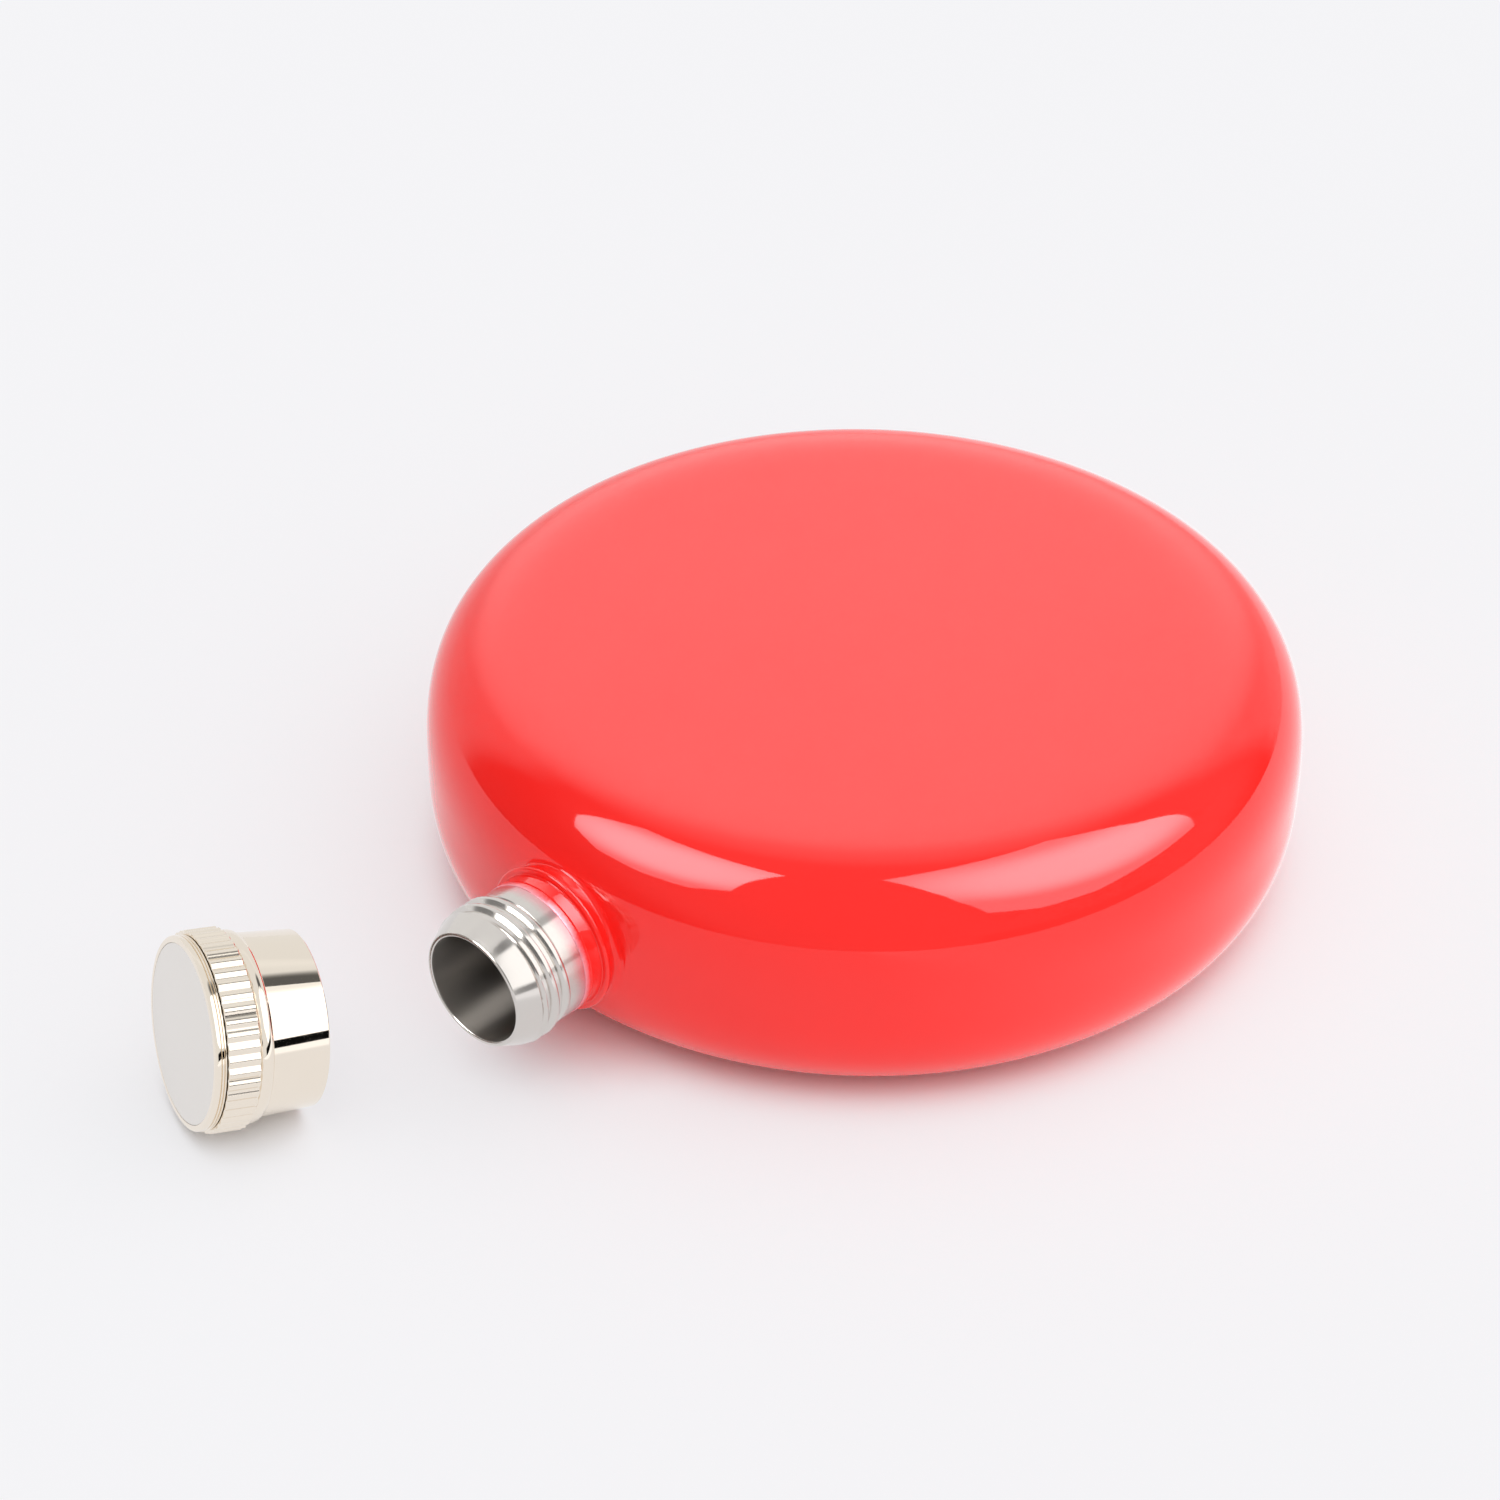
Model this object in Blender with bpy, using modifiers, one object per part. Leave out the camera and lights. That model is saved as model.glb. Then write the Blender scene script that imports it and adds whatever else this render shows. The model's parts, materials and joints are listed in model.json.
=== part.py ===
"""Round hip flask with its screw cap taken off and lying in front of the mouth.

Metres, +Z up. The flask lies on its flat face: the origin is the middle of that face, and the neck points along -Y.
"""

import math

import bmesh
import bpy
from mathutils import Matrix, Vector

MM = 0.001

# Clearance between two pieces that meet, and how far a cutter runs past what it cuts.
GAP = 0.3 * MM
CUTTER_OVERRUN = 2.0 * MM

# Vessel: two pressed halves with flat faces and rounded shoulders.
BODY_DIAMETER = 95.0 * MM
BODY_THICKNESS = 27.0 * MM
SHOULDER_WIDTH = 14.0 * MM
SHOULDER_POWER = 3.0
SHELL_WALL = 0.6 * MM
SEAM_ROOT_WIDTH = 2.4 * MM
SEAM_ROOT_HEIGHT = 0.7 * MM

# Neck: walls are measured from the bore, lengths run from the flange to the mouth.
BORE_DIAMETER = 12.0 * MM
SPIGOT_WALL = 1.2 * MM
LAND_WALL = 1.5 * MM
BAND_WALL = 1.35 * MM
THREAD_WALL = 1.6 * MM
RELIEF_WALL = 1.15 * MM
LIP_WALL = 1.55 * MM
RIM_WALL = 0.55 * MM
RIM_ROUNDING = 0.2 * MM
SPIGOT_PROUD = 0.9 * MM
FLANGE_STANDOFF = 0.5 * MM
FLANGE_THICKNESS = 0.6 * MM
FLANGE_OVERHANG = 0.7 * MM
LAND_LENGTH = 2.4 * MM
BAND_LENGTH = 2.3 * MM
THREAD_LENGTH = 2.9 * MM
RELIEF_LENGTH = 0.9 * MM
LIP_LENGTH = 2.6 * MM
WELD_LEG = 0.7 * MM

# Cap: heights run from the outer face of its end to its open edge.
DISC_THICKNESS = 0.6 * MM
DISC_INSET = 0.7 * MM
END_WALL = 1.3 * MM
SEAL_THICKNESS = 1.5 * MM
INSERT_WALL = 0.45 * MM
INSERT_RECESS = 0.4 * MM
EDGE_ROUNDING = 0.1 * MM
SKIRT_WALL = 0.5 * MM
SKIRT_TAPER = 0.35 * MM
SKIRT_ROUNDING = 0.12 * MM
BEAD_WIDTH = 1.55 * MM
BEAD_HEIGHT = 0.45 * MM
RIM_WIDTH = 1.2 * MM
RIM_CHAMFER = 0.3 * MM
RIM_INSET = 0.15 * MM
RIM_GROOVE_DEPTH = 0.16 * MM
RIM_GROOVE_WIDTH = 0.22 * MM
RIM_GROOVES = 2
GRIP_WIDTH = 2.95 * MM
GRIP_SEAT_DEPTH = 0.05 * MM
GRIP_WALL = 0.4 * MM
FLUTE_HEIGHT = 0.3 * MM
FLUTE_FULLNESS = 0.5
FLUTE_COUNT = 48
FLUTE_POINTS = 5

# Where the loose cap lies: its end face beyond the mouth and to the left, its axis turned from the neck's.
CAP_AHEAD = 22.8 * MM
CAP_ASIDE = 18.6 * MM
CAP_HEADING = math.radians(23.0)
CAP_STANDOFF = 2.0 * MM

# Fineness of the round shapes.
BODY_STEPS = 64
NECK_STEPS = 48
SHOULDER_SEGMENTS = 11
ARC_SEGMENTS = 5
RIM_SEGMENTS = 3
CORNER_SEGMENTS = 2
MERGE_DISTANCE = 0.00001
SHARP_ANGLE = math.radians(28.0)

# Radii and places that follow from the sizes above.
body_radius = BODY_DIAMETER / 2
half_thickness = BODY_THICKNESS / 2
flat_radius = body_radius - SHOULDER_WIDTH

bore_radius = BORE_DIAMETER / 2
spigot_radius = bore_radius + SPIGOT_WALL
land_radius = bore_radius + LAND_WALL
band_radius = bore_radius + BAND_WALL
thread_radius = bore_radius + THREAD_WALL
relief_radius = bore_radius + RELIEF_WALL
lip_radius = bore_radius + LIP_WALL
mouth_radius = bore_radius + RIM_WALL
flange_radius = land_radius + FLANGE_OVERHANG
weld_radius = flange_radius + WELD_LEG
neck_hole_radius = spigot_radius + GAP

flange_back = body_radius + FLANGE_STANDOFF
flange_front = flange_back + FLANGE_THICKNESS
land_end = flange_front + LAND_LENGTH
band_end = land_end + BAND_LENGTH
thread_end = band_end + THREAD_LENGTH
relief_end = thread_end + RELIEF_LENGTH
mouth = relief_end + LIP_LENGTH

insert_bore = max(thread_radius, lip_radius) + GAP
insert_radius = insert_bore + INSERT_WALL
cap_bore = insert_radius + GAP
skirt_end_radius = cap_bore + SKIRT_WALL
skirt_root_radius = skirt_end_radius + SKIRT_TAPER
seat_radius = skirt_root_radius - GRIP_SEAT_DEPTH
grip_bore = seat_radius + GAP
flute_root_radius = grip_bore + GRIP_WALL
flute_crest_radius = flute_root_radius + FLUTE_HEIGHT
rim_radius = flute_root_radius - RIM_INSET
disc_recess_radius = rim_radius - DISC_INSET
disc_radius = disc_recess_radius - GAP

disc_recess = DISC_THICKNESS + GAP
hollow_bottom = disc_recess + END_WALL
seal_bottom = hollow_bottom + GAP
seal_top = seal_bottom + SEAL_THICKNESS
insert_bottom = seal_top + GAP
cap_length = seal_top + (mouth - land_end) - GAP
insert_top = cap_length - INSERT_RECESS
grip_bottom = RIM_WIDTH + GAP
grip_top = grip_bottom + GRIP_WIDTH
bead_bottom = grip_top + GAP
bead_top = bead_bottom + BEAD_WIDTH


def collection(name):
    group = bpy.data.collections.new(name)
    bpy.context.scene.collection.children.link(group)
    return group


def finish(name, colour, roughness, metallic):
    """A plain surface finish for one sub-part."""
    made = bpy.data.materials.new(name)
    made.use_nodes = True
    shader = made.node_tree.nodes["Principled BSDF"]
    shader.inputs["Base Color"].default_value = (*colour, 1.0)
    shader.inputs["Roughness"].default_value = roughness
    shader.inputs["Metallic"].default_value = metallic
    return made


def shade(mesh):
    """Round faces smooth, edges that are truly corners sharp."""
    mesh.shade_smooth()
    mesh.set_sharp_from_angle(angle=SHARP_ANGLE)


def settle(obj):
    """Applies the modifiers that shape the piece so that its corners can be marked."""
    graph = bpy.context.evaluated_depsgraph_get()
    shaped = bpy.data.meshes.new_from_object(obj.evaluated_get(graph))
    shaped.name = obj.name
    outline = obj.data
    obj.modifiers.clear()
    obj.data = shaped
    bpy.data.batch_remove([outline])
    shade(shaped)


def turned(name, profile, steps, group, closed=True):
    """A profile of (radius, height) points, turned a full circle about Z."""
    shape = bmesh.new()
    points = [shape.verts.new((radius, 0.0, height)) for radius, height in profile]
    for first, second in zip(points, points[1:]):
        shape.edges.new((first, second))
    if closed:
        shape.edges.new((points[-1], points[0]))
    mesh = bpy.data.meshes.new(name)
    shape.to_mesh(mesh)
    shape.free()
    obj = bpy.data.objects.new(name, mesh)
    group.objects.link(obj)
    turn = obj.modifiers.new("Turn", "SCREW")
    turn.axis = "Z"
    turn.steps = steps
    turn.render_steps = steps
    turn.use_merge_vertices = True
    turn.merge_threshold = MERGE_DISTANCE
    settle(obj)
    return obj


def arc(centre, radius, start, end, segments):
    """Points (radius, height) on a round, from the start angle to the end angle in degrees."""
    angles = [math.radians(start + (end - start) * step / segments) for step in range(segments + 1)]
    return [(centre[0] + radius * math.cos(a), centre[1] + radius * math.sin(a)) for a in angles]


def cut(obj, cutter, name):
    """Takes the cutter's shape out of the piece."""
    boolean = obj.modifiers.new(name, "BOOLEAN")
    boolean.operation = "DIFFERENCE"
    boolean.solver = "EXACT"
    boolean.object = cutter


def as_cutter(obj):
    obj.hide_render = True
    obj.display_type = "WIRE"


def shoulder(grow=0.0):
    """The vessel's half outline above its middle plane: flat face, then a squarish round down to the seam.

    Heights are from the middle plane, and grow moves the whole outline outwards.
    """
    width = SHOULDER_WIDTH + grow
    height = half_thickness + grow
    outline = [(0.0, height)]
    for step in range(SHOULDER_SEGMENTS + 1):
        angle = math.pi / 2 * (1 - step / SHOULDER_SEGMENTS)
        across = abs(math.cos(angle) / width) ** SHOULDER_POWER
        up = abs(math.sin(angle) / height) ** SHOULDER_POWER
        reach = (across + up) ** (-1 / SHOULDER_POWER)
        outline.append((flat_radius + reach * math.cos(angle), reach * math.sin(angle)))
    return outline


def reach_at(height):
    """Radius of the vessel's outside at a height from its middle plane."""
    share = (abs(height) / half_thickness) ** SHOULDER_POWER
    return flat_radius + SHOULDER_WIDTH * (1 - share) ** (1 / SHOULDER_POWER)


# Local +Z of a turned neck piece points along the neck, away from the vessel's centre.
along_neck = Matrix.Translation((0.0, 0.0, half_thickness)) @ Matrix.Rotation(math.radians(90.0), 4, "X")


def shell_half(name, upper, group, hole, material):
    """One pressed half: the open outline turned, given its wall inwards, and notched for the neck."""
    outline = shoulder()
    seam_radius = outline[-1][0]
    outline[-1] = (seam_radius, GAP / 2)
    half = turned(name, outline, BODY_STEPS, group, closed=False)
    wall = half.modifiers.new("Wall", "SOLIDIFY")
    wall.thickness = SHELL_WALL
    wall.offset = -1.0
    wall.use_even_offset = True
    cut(half, hole, "Neck hole")
    half.data.materials.append(material)
    half.location.z = half_thickness
    if not upper:
        half.rotation_euler.y = math.pi
    return half


def neck_hole(group):
    """Cutter for the hole that the neck's spigot passes through, half in each shell."""
    inner = reach_at(neck_hole_radius) - SHELL_WALL - CUTTER_OVERRUN
    outer = body_radius + CUTTER_OVERRUN
    bpy.ops.mesh.primitive_cylinder_add(vertices=NECK_STEPS, radius=neck_hole_radius, depth=outer - inner)
    hole = bpy.context.object
    hole.name = "neck_hole_cutter"
    hole.matrix_world = along_neck @ Matrix.Translation((0.0, 0.0, (outer + inner) / 2))
    for owner in list(hole.users_collection):
        owner.objects.unlink(hole)
    group.objects.link(hole)
    as_cutter(hole)
    return hole


def body_cutter(group):
    """The vessel's outside grown by the clearance, which shapes the foot of what sits on it."""
    above = shoulder(grow=GAP)
    below = [(radius, -height) for radius, height in reversed(above[:-1])]
    cutter = turned("body_outside_cutter", above + below, BODY_STEPS, group, closed=False)
    cutter.location.z = half_thickness
    as_cutter(cutter)
    return cutter


def seam_weld(group, hole, material):
    """Root of the weld inside the seam: a low rounded bead, open where the neck comes in."""
    outer = body_radius - SHELL_WALL - GAP
    half_width = SEAM_ROOT_WIDTH / 2
    profile = [(outer, half_width), (outer, -half_width)]
    for step in range(1, ARC_SEGMENTS):
        angle = math.pi * step / ARC_SEGMENTS
        profile.append((outer - SEAM_ROOT_HEIGHT * math.sin(angle), -half_width * math.cos(angle)))
    bead = turned("seam_weld", profile, BODY_STEPS, group)
    bead.location.z = half_thickness
    cut(bead, hole, "Neck hole")
    bead.data.materials.append(material)
    return bead


def neck(group, material):
    """Turned spout: rounded rim, coned lip, relief, thread land, bare band, painted land, flange and spigot."""
    spigot_end = reach_at(spigot_radius) - SHELL_WALL - SPIGOT_PROUD
    profile = [(bore_radius, mouth - RIM_ROUNDING), (bore_radius + RIM_ROUNDING, mouth)]
    lip_lean = math.degrees(math.atan2(lip_radius - mouth_radius, LIP_LENGTH))
    rim_centre = (mouth_radius - RIM_ROUNDING, mouth - RIM_ROUNDING)
    profile += arc(rim_centre, RIM_ROUNDING, 90, lip_lean, RIM_SEGMENTS)
    profile += [
        (lip_radius, relief_end),
        (relief_radius, relief_end - RIM_ROUNDING),
        (relief_radius, thread_end),
        (thread_radius, thread_end - RIM_ROUNDING),
        (thread_radius, band_end + RIM_ROUNDING),
        (band_radius, band_end),
        (band_radius, land_end),
        (land_radius, land_end - RIM_ROUNDING),
        (land_radius, flange_front + RIM_ROUNDING),
        (land_radius + RIM_ROUNDING, flange_front),
        (flange_radius - RIM_ROUNDING, flange_front),
        (flange_radius, flange_front - RIM_ROUNDING),
        (flange_radius, flange_back),
        (spigot_radius, flange_back),
        (spigot_radius, spigot_end),
        (bore_radius, spigot_end),
    ]
    spout = turned("neck", profile, NECK_STEPS, group)
    spout.matrix_world = along_neck
    spout.data.materials.append(material)
    return spout


def neck_weld(group, outside, material):
    """Fillet round the foot of the neck: hollow-cheeked ring whose underside follows the vessel."""
    top = flange_back - GAP
    bottom = reach_at(weld_radius) - CUTTER_OVERRUN
    cheek = arc((weld_radius, top), weld_radius - flange_radius, 180, 270, ARC_SEGMENTS)
    profile = [(neck_hole_radius, top), *cheek, (weld_radius, bottom), (neck_hole_radius, bottom)]
    fillet = turned("neck_weld", profile, NECK_STEPS, group)
    fillet.matrix_world = along_neck
    cut(fillet, outside, "Vessel")
    fillet.data.materials.append(material)
    return fillet


def cap_shell(group, material):
    """Turned cap: closed end with a recess for the disc, grooved rim, seat for the grip ring, bead and skirt."""
    profile = [(0.0, hollow_bottom), (cap_bore, hollow_bottom), (cap_bore, cap_length)]
    corner = (skirt_end_radius - SKIRT_ROUNDING, cap_length - SKIRT_ROUNDING)
    profile += arc(corner, SKIRT_ROUNDING, 90, 0, CORNER_SEGMENTS)
    profile.append((skirt_root_radius, bead_top))
    half_bead = BEAD_WIDTH / 2
    for step in range(1, ARC_SEGMENTS + 1):
        angle = math.pi * step / (ARC_SEGMENTS + 1)
        swell = BEAD_HEIGHT * math.sin(angle)
        profile.append((skirt_root_radius + swell, bead_top - half_bead * (1 - math.cos(angle))))
    profile += [(skirt_root_radius, bead_bottom), (seat_radius, bead_bottom), (seat_radius, RIM_WIDTH)]
    profile.append((rim_radius, RIM_WIDTH))
    pitch = (RIM_WIDTH - RIM_CHAMFER) / (RIM_GROOVES + 1)
    for groove in range(RIM_GROOVES):
        middle = RIM_WIDTH - pitch * (groove + 1)
        profile += [
            (rim_radius, middle + RIM_GROOVE_WIDTH / 2),
            (rim_radius - RIM_GROOVE_DEPTH, middle),
            (rim_radius, middle - RIM_GROOVE_WIDTH / 2),
        ]
    profile += [(rim_radius, RIM_CHAMFER), (rim_radius - RIM_CHAMFER, 0.0), (disc_recess_radius, 0.0)]
    profile += [(disc_recess_radius, disc_recess), (0.0, disc_recess)]
    shell = turned("cap_shell", profile, NECK_STEPS, group, closed=False)
    shell.data.materials.append(material)
    return shell


def grip_ring(group, material):
    """Fluted band: a flat ring outline with rounded ribs round its outside, drawn out to the band's width."""
    outline = bpy.data.curves.new("grip_ring_outline", "CURVE")
    outline.dimensions = "2D"
    outline.fill_mode = "BOTH"
    outline.extrude = GRIP_WIDTH / 2
    steps = FLUTE_COUNT * FLUTE_POINTS
    ribs = outline.splines.new("POLY")
    ribs.points.add(steps - 1)
    for index, point in enumerate(ribs.points):
        turn = math.tau * index / steps
        swell = abs(math.sin(math.pi * index / FLUTE_POINTS)) ** FLUTE_FULLNESS
        radius = flute_root_radius + FLUTE_HEIGHT * swell
        point.co = (radius * math.cos(turn), radius * math.sin(turn), 0.0, 1.0)
    ribs.use_cyclic_u = True
    bore = outline.splines.new("POLY")
    bore.points.add(NECK_STEPS - 1)
    for index, point in enumerate(bore.points):
        turn = math.tau * index / NECK_STEPS
        point.co = (grip_bore * math.cos(turn), grip_bore * math.sin(turn), 0.0, 1.0)
    bore.use_cyclic_u = True
    ring = bpy.data.objects.new("grip_ring_outline", outline)
    group.objects.link(ring)
    graph = bpy.context.evaluated_depsgraph_get()
    mesh = bpy.data.meshes.new_from_object(ring.evaluated_get(graph))
    mesh.name = "grip_ring"
    bpy.data.objects.remove(ring)
    shape = bmesh.new()
    shape.from_mesh(mesh)
    bmesh.ops.remove_doubles(shape, verts=shape.verts, dist=MERGE_DISTANCE)
    bmesh.ops.translate(shape, verts=shape.verts, vec=(0.0, 0.0, grip_bottom + GRIP_WIDTH / 2))
    bmesh.ops.recalc_face_normals(shape, faces=shape.faces)
    shape.to_mesh(mesh)
    shape.free()
    band = bpy.data.objects.new("grip_ring", mesh)
    group.objects.link(band)
    band.data.materials.append(material)
    return band


def plain_disc(name, radius, bottom, top, group, material):
    """A round plate with softened edges."""
    profile = [
        (0.0, top),
        (radius - EDGE_ROUNDING, top),
        (radius, top - EDGE_ROUNDING),
        (radius, bottom + EDGE_ROUNDING),
        (radius - EDGE_ROUNDING, bottom),
        (0.0, bottom),
    ]
    plate = turned(name, profile, NECK_STEPS, group, closed=False)
    plate.data.materials.append(material)
    return plate


def thread_insert(group, material):
    """Sleeve that carries the cap's thread: its bore clears the neck's thread land and lip."""
    lead = INSERT_WALL / 2
    profile = [
        (insert_bore, insert_top - lead),
        (insert_bore + lead, insert_top),
        (insert_radius, insert_top),
        (insert_radius, insert_bottom),
        (insert_bore, insert_bottom),
    ]
    sleeve = turned("thread_insert", profile, NECK_STEPS, group)
    sleeve.data.materials.append(material)
    return sleeve


def lying_cap():
    """Place of the loose cap: it rests on the grip ring's far edge and on the end of the skirt."""
    dip = math.atan2(flute_crest_radius - skirt_end_radius, cap_length - grip_top)
    end_height = flute_crest_radius * math.cos(dip) + grip_top * math.sin(dip)
    axis = Vector((math.sin(CAP_HEADING) * math.cos(dip), math.cos(CAP_HEADING) * math.cos(dip), -math.sin(dip)))
    end = Vector((-CAP_ASIDE, -mouth - CAP_AHEAD, end_height))
    return end, axis


def carry_hinge():
    """Centre and axis of the one turn that brings the lying cap in front of the mouth, in line with the neck."""
    end, axis = lying_cap()
    in_line = Vector((0.0, 1.0, 0.0))
    open_edge = end + axis * cap_length
    target = Vector((0.0, -mouth - CAP_STANDOFF, half_thickness))
    chord = target - open_edge
    pivot = (in_line - axis).cross(chord).normalized()
    start = axis - axis.dot(pivot) * pivot
    stop = in_line - in_line.dot(pivot) * pivot
    angle = math.atan2(start.cross(stop).dot(pivot), start.dot(stop))
    centre = (open_edge + target) / 2 + pivot.cross(chord) / (2 * math.tan(angle / 2))
    return (centre, pivot, angle) if angle > 0 else (centre, -pivot, -angle)


def axis_marker(name, place, direction, group):
    """An empty on a joint's axis, with its local Z along the axis."""
    marker = bpy.data.objects.new(name, None)
    marker.empty_display_type = "SINGLE_ARROW"
    marker.empty_display_size = cap_length
    group.objects.link(marker)
    marker.matrix_world = Matrix.Translation(place) @ direction.to_track_quat("Z", "Y").to_matrix().to_4x4()
    return marker


def carried_by(marker, obj, place):
    """Hangs a piece on a joint's marker while it stays at its own place."""
    bpy.context.view_layer.update()
    obj.parent = marker
    obj.matrix_parent_inverse = marker.matrix_world.inverted()
    obj.matrix_world = place


def clear_scene():
    for obj in list(bpy.data.objects):
        bpy.data.objects.remove(obj, do_unlink=True)


clear_scene()
parts = collection("round_hip_flask")
cutters = collection("cutters")

red_lacquer = finish("red_lacquer", (0.80, 0.018, 0.014), 0.12, 0.0)
turned_steel = finish("turned_steel", (0.62, 0.61, 0.59), 0.28, 1.0)
raw_weld = finish("raw_weld", (0.45, 0.44, 0.43), 0.45, 1.0)
bright_nickel = finish("bright_nickel", (0.80, 0.76, 0.68), 0.08, 1.0)
fluted_nickel = finish("fluted_nickel", (0.80, 0.76, 0.68), 0.16, 1.0)
satin_nickel = finish("satin_nickel", (0.74, 0.72, 0.68), 0.34, 1.0)
insert_metal = finish("insert_metal", (0.60, 0.58, 0.54), 0.30, 1.0)
pale_silicone = finish("pale_silicone", (0.75, 0.75, 0.72), 0.55, 0.0)

hole_cutter = neck_hole(cutters)
outside_cutter = body_cutter(cutters)
shell_half("upper_shell", True, parts, hole_cutter, red_lacquer)
shell_half("lower_shell", False, parts, hole_cutter, red_lacquer)
seam_weld(parts, hole_cutter, raw_weld)
neck(parts, turned_steel)
neck_weld(parts, outside_cutter, red_lacquer)

cap_end, cap_axis = lying_cap()
pivot_centre, pivot_axis, pivot_angle = carry_hinge()
carry_marker = axis_marker("cap_carry_axis", pivot_centre, pivot_axis, parts)
turn_marker = axis_marker("cap_turn_axis", cap_end, cap_axis, parts)
cap_place = turn_marker.matrix_world.copy()
carried_by(carry_marker, turn_marker, cap_place)

seal = plain_disc("seal", cap_bore - GAP, seal_bottom, seal_top, parts, pale_silicone)
carried_by(carry_marker, seal, cap_place)
disc = plain_disc("cap_disc", disc_radius, 0.0, DISC_THICKNESS, parts, satin_nickel)
for piece in (
    cap_shell(parts, bright_nickel),
    grip_ring(parts, fluted_nickel),
    disc,
    thread_insert(parts, insert_metal),
):
    carried_by(turn_marker, piece, cap_place)
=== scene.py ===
import json
import math
import random

import bmesh
import bpy
from mathutils import Matrix, Vector


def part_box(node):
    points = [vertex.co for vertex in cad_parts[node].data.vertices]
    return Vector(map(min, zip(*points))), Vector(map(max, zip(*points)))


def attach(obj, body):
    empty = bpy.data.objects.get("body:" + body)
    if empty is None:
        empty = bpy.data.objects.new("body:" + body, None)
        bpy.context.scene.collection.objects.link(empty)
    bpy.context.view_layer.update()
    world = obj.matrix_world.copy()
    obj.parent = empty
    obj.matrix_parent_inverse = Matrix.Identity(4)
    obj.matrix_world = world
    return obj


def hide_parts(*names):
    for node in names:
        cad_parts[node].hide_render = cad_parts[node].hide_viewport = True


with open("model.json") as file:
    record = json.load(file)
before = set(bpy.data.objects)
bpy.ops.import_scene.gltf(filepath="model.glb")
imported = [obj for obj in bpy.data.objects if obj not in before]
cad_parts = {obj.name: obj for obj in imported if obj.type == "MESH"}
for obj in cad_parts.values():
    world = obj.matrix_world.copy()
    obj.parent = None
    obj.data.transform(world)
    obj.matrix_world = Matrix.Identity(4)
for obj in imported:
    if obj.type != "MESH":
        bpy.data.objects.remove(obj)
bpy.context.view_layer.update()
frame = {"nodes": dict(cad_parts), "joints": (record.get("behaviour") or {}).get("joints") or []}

# Lacquered vessel
# Two pressed halves of stainless sheet, welded edge to edge and ground until no seam shows, then sprayed
# all over with a gloss red lacquer. Inside, the sheet is bare. The neck's spigot passes through one hole.
MM = 0.001
VESSEL_STEPS = 256
SHOULDER_WIDTH = 14.0 * MM
SHOULDER_POWER = 3.0
SHOULDER_SEGMENTS = 40
FLAT_RING = 1.5 * MM
SHELL_WALL = 0.6 * MM
NECK_HOLE_RADIUS = 7.5 * MM
NECK_HOLE_DEPTH = 8.0 * MM
DRILL_SIDES = 128
WELD_DISTANCE = 0.002 * MM
SHARP_ANGLE = math.radians(32.0)
SMEAR_FULL = 0.95
METAL_SMEAR = 0.04

LACQUER_RED = (0.95, 0.018, 0.014)
LACQUER_DEEP_RED = (0.86, 0.012, 0.010)
LACQUER_BASE_ROUGHNESS = 0.32
LACQUER_SMEARED_ROUGHNESS = 0.40
LACQUER_COAT_ROUGHNESS = 0.035
LACQUER_COAT_IOR = 1.5

vessel_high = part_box("upper_shell")[1]
vessel_radius = vessel_high.x
half_thickness = vessel_high.z / 2
flat_radius = vessel_radius - SHOULDER_WIDTH
middle = Matrix.Translation((0.0, 0.0, half_thickness))


def reach_at(height):
    """Radius of the vessel's outside at a height from its middle plane."""
    share = (abs(height) / half_thickness) ** SHOULDER_POWER
    return flat_radius + SHOULDER_WIDTH * (1 - share) ** (1 / SHOULDER_POWER)


def shoulder():
    """Half outline above the middle plane: the flat face, then a squarish round down to the seam."""
    outline = [(0.0, half_thickness), (flat_radius - FLAT_RING, half_thickness)]
    for step in range(SHOULDER_SEGMENTS + 1):
        angle = math.pi / 2 * (1 - step / SHOULDER_SEGMENTS)
        across = abs(math.cos(angle) / SHOULDER_WIDTH) ** SHOULDER_POWER
        up = abs(math.sin(angle) / half_thickness) ** SHOULDER_POWER
        reach = (across + up) ** (-1 / SHOULDER_POWER)
        outline.append((flat_radius + reach * math.cos(angle), reach * math.sin(angle)))
    return outline


def turned(profile, steps, closed=False):
    """A profile of (radius, height) points, spun a full circle about Z."""
    shape = bmesh.new()
    points = [shape.verts.new((radius, 0.0, height)) for radius, height in profile]
    lines = [shape.edges.new(pair) for pair in zip(points, points[1:])]
    if closed:
        lines.append(shape.edges.new((points[-1], points[0])))
    bmesh.ops.spin(
        shape, geom=points + lines, cent=(0, 0, 0), axis=(0, 0, 1), dvec=(0, 0, 0),
        angle=math.tau, steps=steps, use_merge=True, use_duplicate=False,
    )
    bmesh.ops.remove_doubles(shape, verts=shape.verts, dist=WELD_DISTANCE)
    bmesh.ops.recalc_face_normals(shape, faces=shape.faces)
    return shape


def shaded(mesh):
    """Round faces smooth, edges that are truly corners sharp."""
    mesh.shade_smooth()
    mesh.set_sharp_from_angle(angle=SHARP_ANGLE)


def piece_from(shape, name, place, materials):
    """Makes the object: the shape's place goes into its mesh, and the object stays at the origin."""
    bmesh.ops.transform(shape, matrix=place, verts=shape.verts)
    mesh = bpy.data.meshes.new(name)
    shape.to_mesh(mesh)
    shape.free()
    shaded(mesh)
    for material in materials:
        mesh.materials.append(material)
    piece = bpy.data.objects.new(name, mesh)
    bpy.context.scene.collection.objects.link(piece)
    return piece


def settled(piece):
    """Applies a piece's modifiers."""
    graph = bpy.context.evaluated_depsgraph_get()
    mesh = bpy.data.meshes.new_from_object(piece.evaluated_get(graph))
    piece.modifiers.clear()
    piece.data = mesh
    mesh.name = piece.name
    shaded(mesh)


def material_named(name):
    """A material with its Principled shader, ready for more nodes."""
    made = bpy.data.materials.new(name)
    made.use_nodes = True
    return made, made.node_tree, made.node_tree.nodes["Principled BSDF"]


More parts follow.
